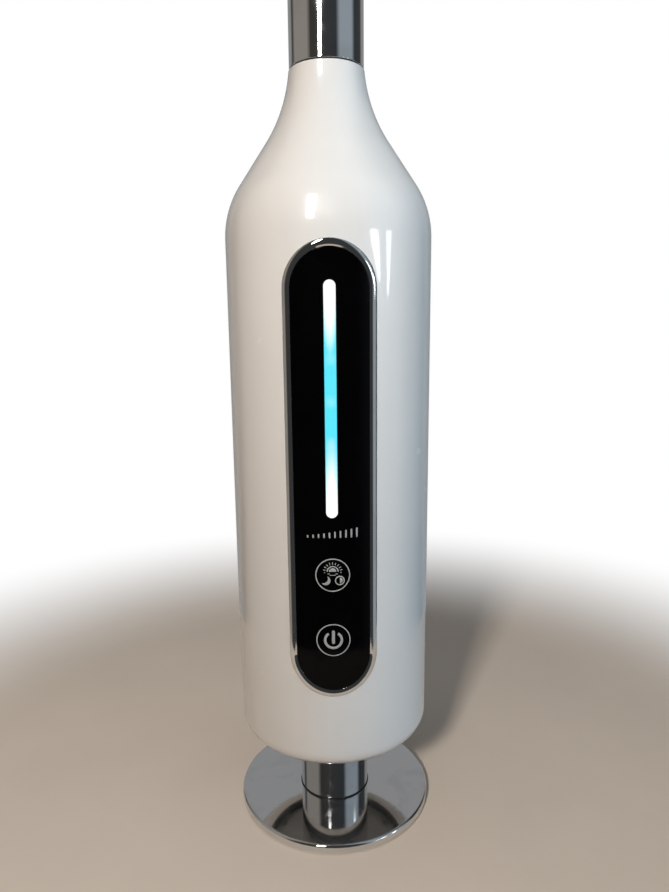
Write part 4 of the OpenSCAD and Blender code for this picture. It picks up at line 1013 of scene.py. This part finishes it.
def floor_finish(colour):
    """Pale floor that takes the shadow near the lamp and fades to plain white further out."""
    material, tree, shader = start_finish("floor")
    feed(tree, shader, {"Base Color": shade(tree, colour, 0.05, use(tree, TONE, 14.0)), "Roughness": 0.7})
    reach = add(tree, "VectorMath", {0: object_place(tree)}, operation="LENGTH")
    far = scaled(tree, reach, 0.22, 0.50, "SMOOTHSTEP")
    white = add(tree, "Emission", {"Color": WHITE, "Strength": 1.0})
    mask = calc(tree, "MULTIPLY", far, seen(tree), clamp=True)
    cover(tree, "Material Output", mask, shader.outputs["BSDF"], white)
    return material


def glow_finish(name, colour, strength):
    """Even glow for a card."""
    material, tree, shader = start_finish(name)
    tree.nodes.remove(shader)
    glow = add(tree, "Emission", {"Color": colour, "Strength": strength})
    feed(tree, tree.nodes["Material Output"], {"Surface": glow})
    return material


# What the polished metal mirrors: a dim tent with a soft panel behind each light at the side and at the
# back. A panel has a direction in degrees, where 0 is the front and 90 the right side as seen from the front,
# a half width, a level and a tint
SURROUND, PANEL_EDGE = 0.05, 12
TENT_PANELS = ((-85, 25, 0.30, (1.0, 0.9, 0.8)), (62, 20, 0.40, (0.8, 0.9, 1.0)), (180, 45, 0.30, WHITE))


def tent_finish():
    """Dim tent with a few soft upright panels, by direction."""
    material = glow_finish("reflection_tent", WHITE, 1.0)
    tree = material.node_tree
    place = object_place(tree)
    around = add(tree, "TexGradient", {"Vector": place}, gradient_type="RADIAL").node.outputs["Fac"]
    stops = []
    for middle, half, level, colour in TENT_PANELS:
        edge = half + PANEL_EDGE
        for turn, tone in ((-edge, SURROUND), (-half, level), (half, level), (edge, SURROUND)):
            stops.append(((0.25 + (middle + turn) / 360) % 1.0, [tone * part for part in colour]))
    feed(tree, tree.nodes["Emission"], {"Color": ramp(tree, around, sorted(stops))})
    return material


def slit(foot, top, distance=1.5):
    """Upright strip between a foot and a top edge, each as two directions in degrees and a height."""
    turn = np.radians(np.array([foot[:2], top[:2]]))
    spots = stack(distance * np.sin(turn), -distance * np.cos(turn), np.array([[foot[2]], [top[2]]]))
    return spots, grid_faces(2, 2, wrap_columns=False)


def set_world(scene, ambient):
    """White for the camera and the reflections, and an even level for the light that falls on things."""
    scene.world = bpy.data.worlds.new("studio")
    scene.world.use_nodes = True
    tree = scene.world.node_tree
    even = tree.nodes["Background"]
    feed(tree, even, {"Color": (1.0, 0.985, 0.96), "Strength": ambient})
    white = add(tree, "Background", {"Color": WHITE, "Strength": 1.0})
    cover(tree, "World Output", seen(tree), even.outputs["Background"], white)


def floor_group(state):
    """A group by which a light falls on the floor only, or on all but the floor."""
    group = bpy.data.collections.new("floor_" + state.lower())
    group.objects.link(bpy.data.objects["floor"])
    group.collection_objects[0].light_linking.link_state = state
    return group


def light(
    name, floor, turn, rise, watts, colour, distance=1.2, width=0.80, height=0.80, aim=0.30, spread=180,
):
    """An area light in a direction from the lamp's middle, aimed at a height on its axis."""
    lamp = bpy.data.lights.new(name, "AREA")
    lamp.shape, lamp.size, lamp.size_y = "RECTANGLE", width, height
    lamp.energy, lamp.color, lamp.spread = watts, colour, radians(spread)
    thing = bpy.data.objects.new(name, lamp)
    turn, rise, middle = radians(turn), radians(rise), Vector((0.0, 0.0, 0.30))
    thing.location = middle + Vector((sin(turn) * cos(rise), -cos(turn) * cos(rise), sin(rise))) * distance
    away = thing.location - Vector((0.0, 0.0, aim))
    thing.rotation_euler = away.to_track_quat("Z", "Y").to_euler()
    thing.visible_camera = thing.visible_glossy = False
    thing.light_linking.receiver_collection = floor
    bpy.context.scene.collection.objects.link(thing)
    return lamp


def set_lights(stage):
    """Soft light from the front and overhead, cool from the right, weak and warm from the left, and a fill
    without a shadow from behind. The floor takes the one overhead and a light of its own, for the shadow."""
    only, never = floor_group("INCLUDE"), floor_group("EXCLUDE")
    light("key", never, -2, 29.3, stage.key_power, (1.0, 0.955, 0.90), 0.62, 0.112, 0.205, spread=100)
    light("top", None, 0, 84, stage.top_power, (1.0, 0.89, 0.78))
    light("cool_side", never, 62, 12, stage.cool_power, (0.12, 0.58, 1.0), width=0.60)
    light("warm_side", never, -85, 12, stage.warm_power, (1.0, 0.50, 0.12), width=0.60)
    light("back", never, 180, 25, stage.back_power, (1.0, 0.97, 0.93)).use_shadow = False
    light("floor_key", only, -20, 22, stage.floor_power, (1.0, 0.82, 0.67), width=0.14, height=0.14, aim=0.0)


def set_camera(scene, lens):
    """A camera in front of the panel, which looks slightly down."""
    camera = bpy.data.objects.new("camera", bpy.data.cameras.new("camera"))
    camera.data.lens, camera.data.clip_start = lens, 0.01
    down, roll, around, spot = radians(10.45), radians(-0.62), radians(-0.5), (0.0019, -0.34175, 0.2596)
    tilt = Matrix.Rotation(pi / 2 - down, 4, "X") @ Matrix.Rotation(roll, 4, "Z")
    camera.matrix_world = Matrix.Rotation(around, 4, "Z") @ Matrix.Translation(spot) @ tilt
    scene.collection.objects.link(camera)
    scene.camera = camera


class LAMP_OT_stage(bpy.types.Operator):
    """Pale floor, soft light, reflection tent and the camera"""

    bl_idname = "lamp.stage"
    bl_label = "Stage"

    def execute(self, context):
        scene, stage = context.scene, context.scene.lamp_stage
        scene.view_settings.view_transform = "Standard"
        set_world(scene, stage.ambient)
        path = np.array([(3.0, 0.0), (0.4, 0.0), (0.1, 0.0), (0.0, 0.0)])
        make_object("floor", [turned((path, path), 64)[:2]], floor_finish(stage.floor))
        set_lights(stage)
        wall = rounded([(0.255, 0.002), (1.7, 0.002), (1.7, 1.9), (0.0, 2.1)], [0.05, 0.9], 10)
        daylight = (0.86, 0.95, 1.0)
        window, pane = glow_finish("window_slits", daylight, 9.0), glow_finish("window_pane", daylight, 1.6)
        reflected_only("reflection_tent", turned(wall, 96)[:2], tent_finish())
        reflected_only("slit_near", slit((53.5, 56.5, 0.36), (42.0, 53.0, 0.50)), window)
        reflected_only("slit_far", slit((64.0, 66.5, 0.325), (63.0, 70.0, 0.50)), window)
        reflected_only("pane", slit((68.0, 76.0, 1.23), (68.0, 76.0, 1.32)), pane)
        card = slit((-22.5, -15.0, 0.465), (-25.0, -13.5, 0.82), 0.54)
        reflected_only("key_card", card, glow_finish("key_card", (1.0, 0.97, 0.92), 25.0))
        set_camera(scene, stage.lens)
        return {"FINISHED"}


PIECES = (
    LAMP_OT_inner, LAMP_OT_foot, LAMP_OT_stem, LAMP_OT_body, LAMP_OT_bezel, LAMP_OT_panel, LAMP_OT_signs,
    LAMP_OT_neck, LAMP_OT_bulb, LAMP_OT_inlet, LAMP_OT_stage,
)


class LAMP_PT_build(bpy.types.Panel):
    """Lists the lamp's pieces"""

    bl_idname = "LAMP_PT_build"
    bl_label = "Desk Lamp"
    bl_space_type = "VIEW_3D"
    bl_region_type = "UI"
    bl_category = "Desk Lamp"

    def draw(self, context):
        for piece in PIECES:
            self.layout.operator(piece.bl_idname)


GROUPS = (LampSizes, LampColours, StageSettings)


def register():
    for kind in (*GROUPS, *PIECES, LAMP_PT_build):
        bpy.utils.register_class(kind)
    bpy.types.Scene.lamp_sizes = PointerProperty(type=LampSizes)
    bpy.types.Scene.lamp_colours = PointerProperty(type=LampColours)
    bpy.types.Scene.lamp_stage = PointerProperty(type=StageSettings)


def unregister():
    del bpy.types.Scene.lamp_stage
    del bpy.types.Scene.lamp_colours
    del bpy.types.Scene.lamp_sizes
    for kind in reversed((*GROUPS, *PIECES, LAMP_PT_build)):
        bpy.utils.unregister_class(kind)


def main():
    """Builds every piece and the stage in order."""
    register()
    for piece in PIECES:
        getattr(bpy.ops.lamp, piece.bl_idname.split(".")[1])()


if __name__ == "__main__":
    main()
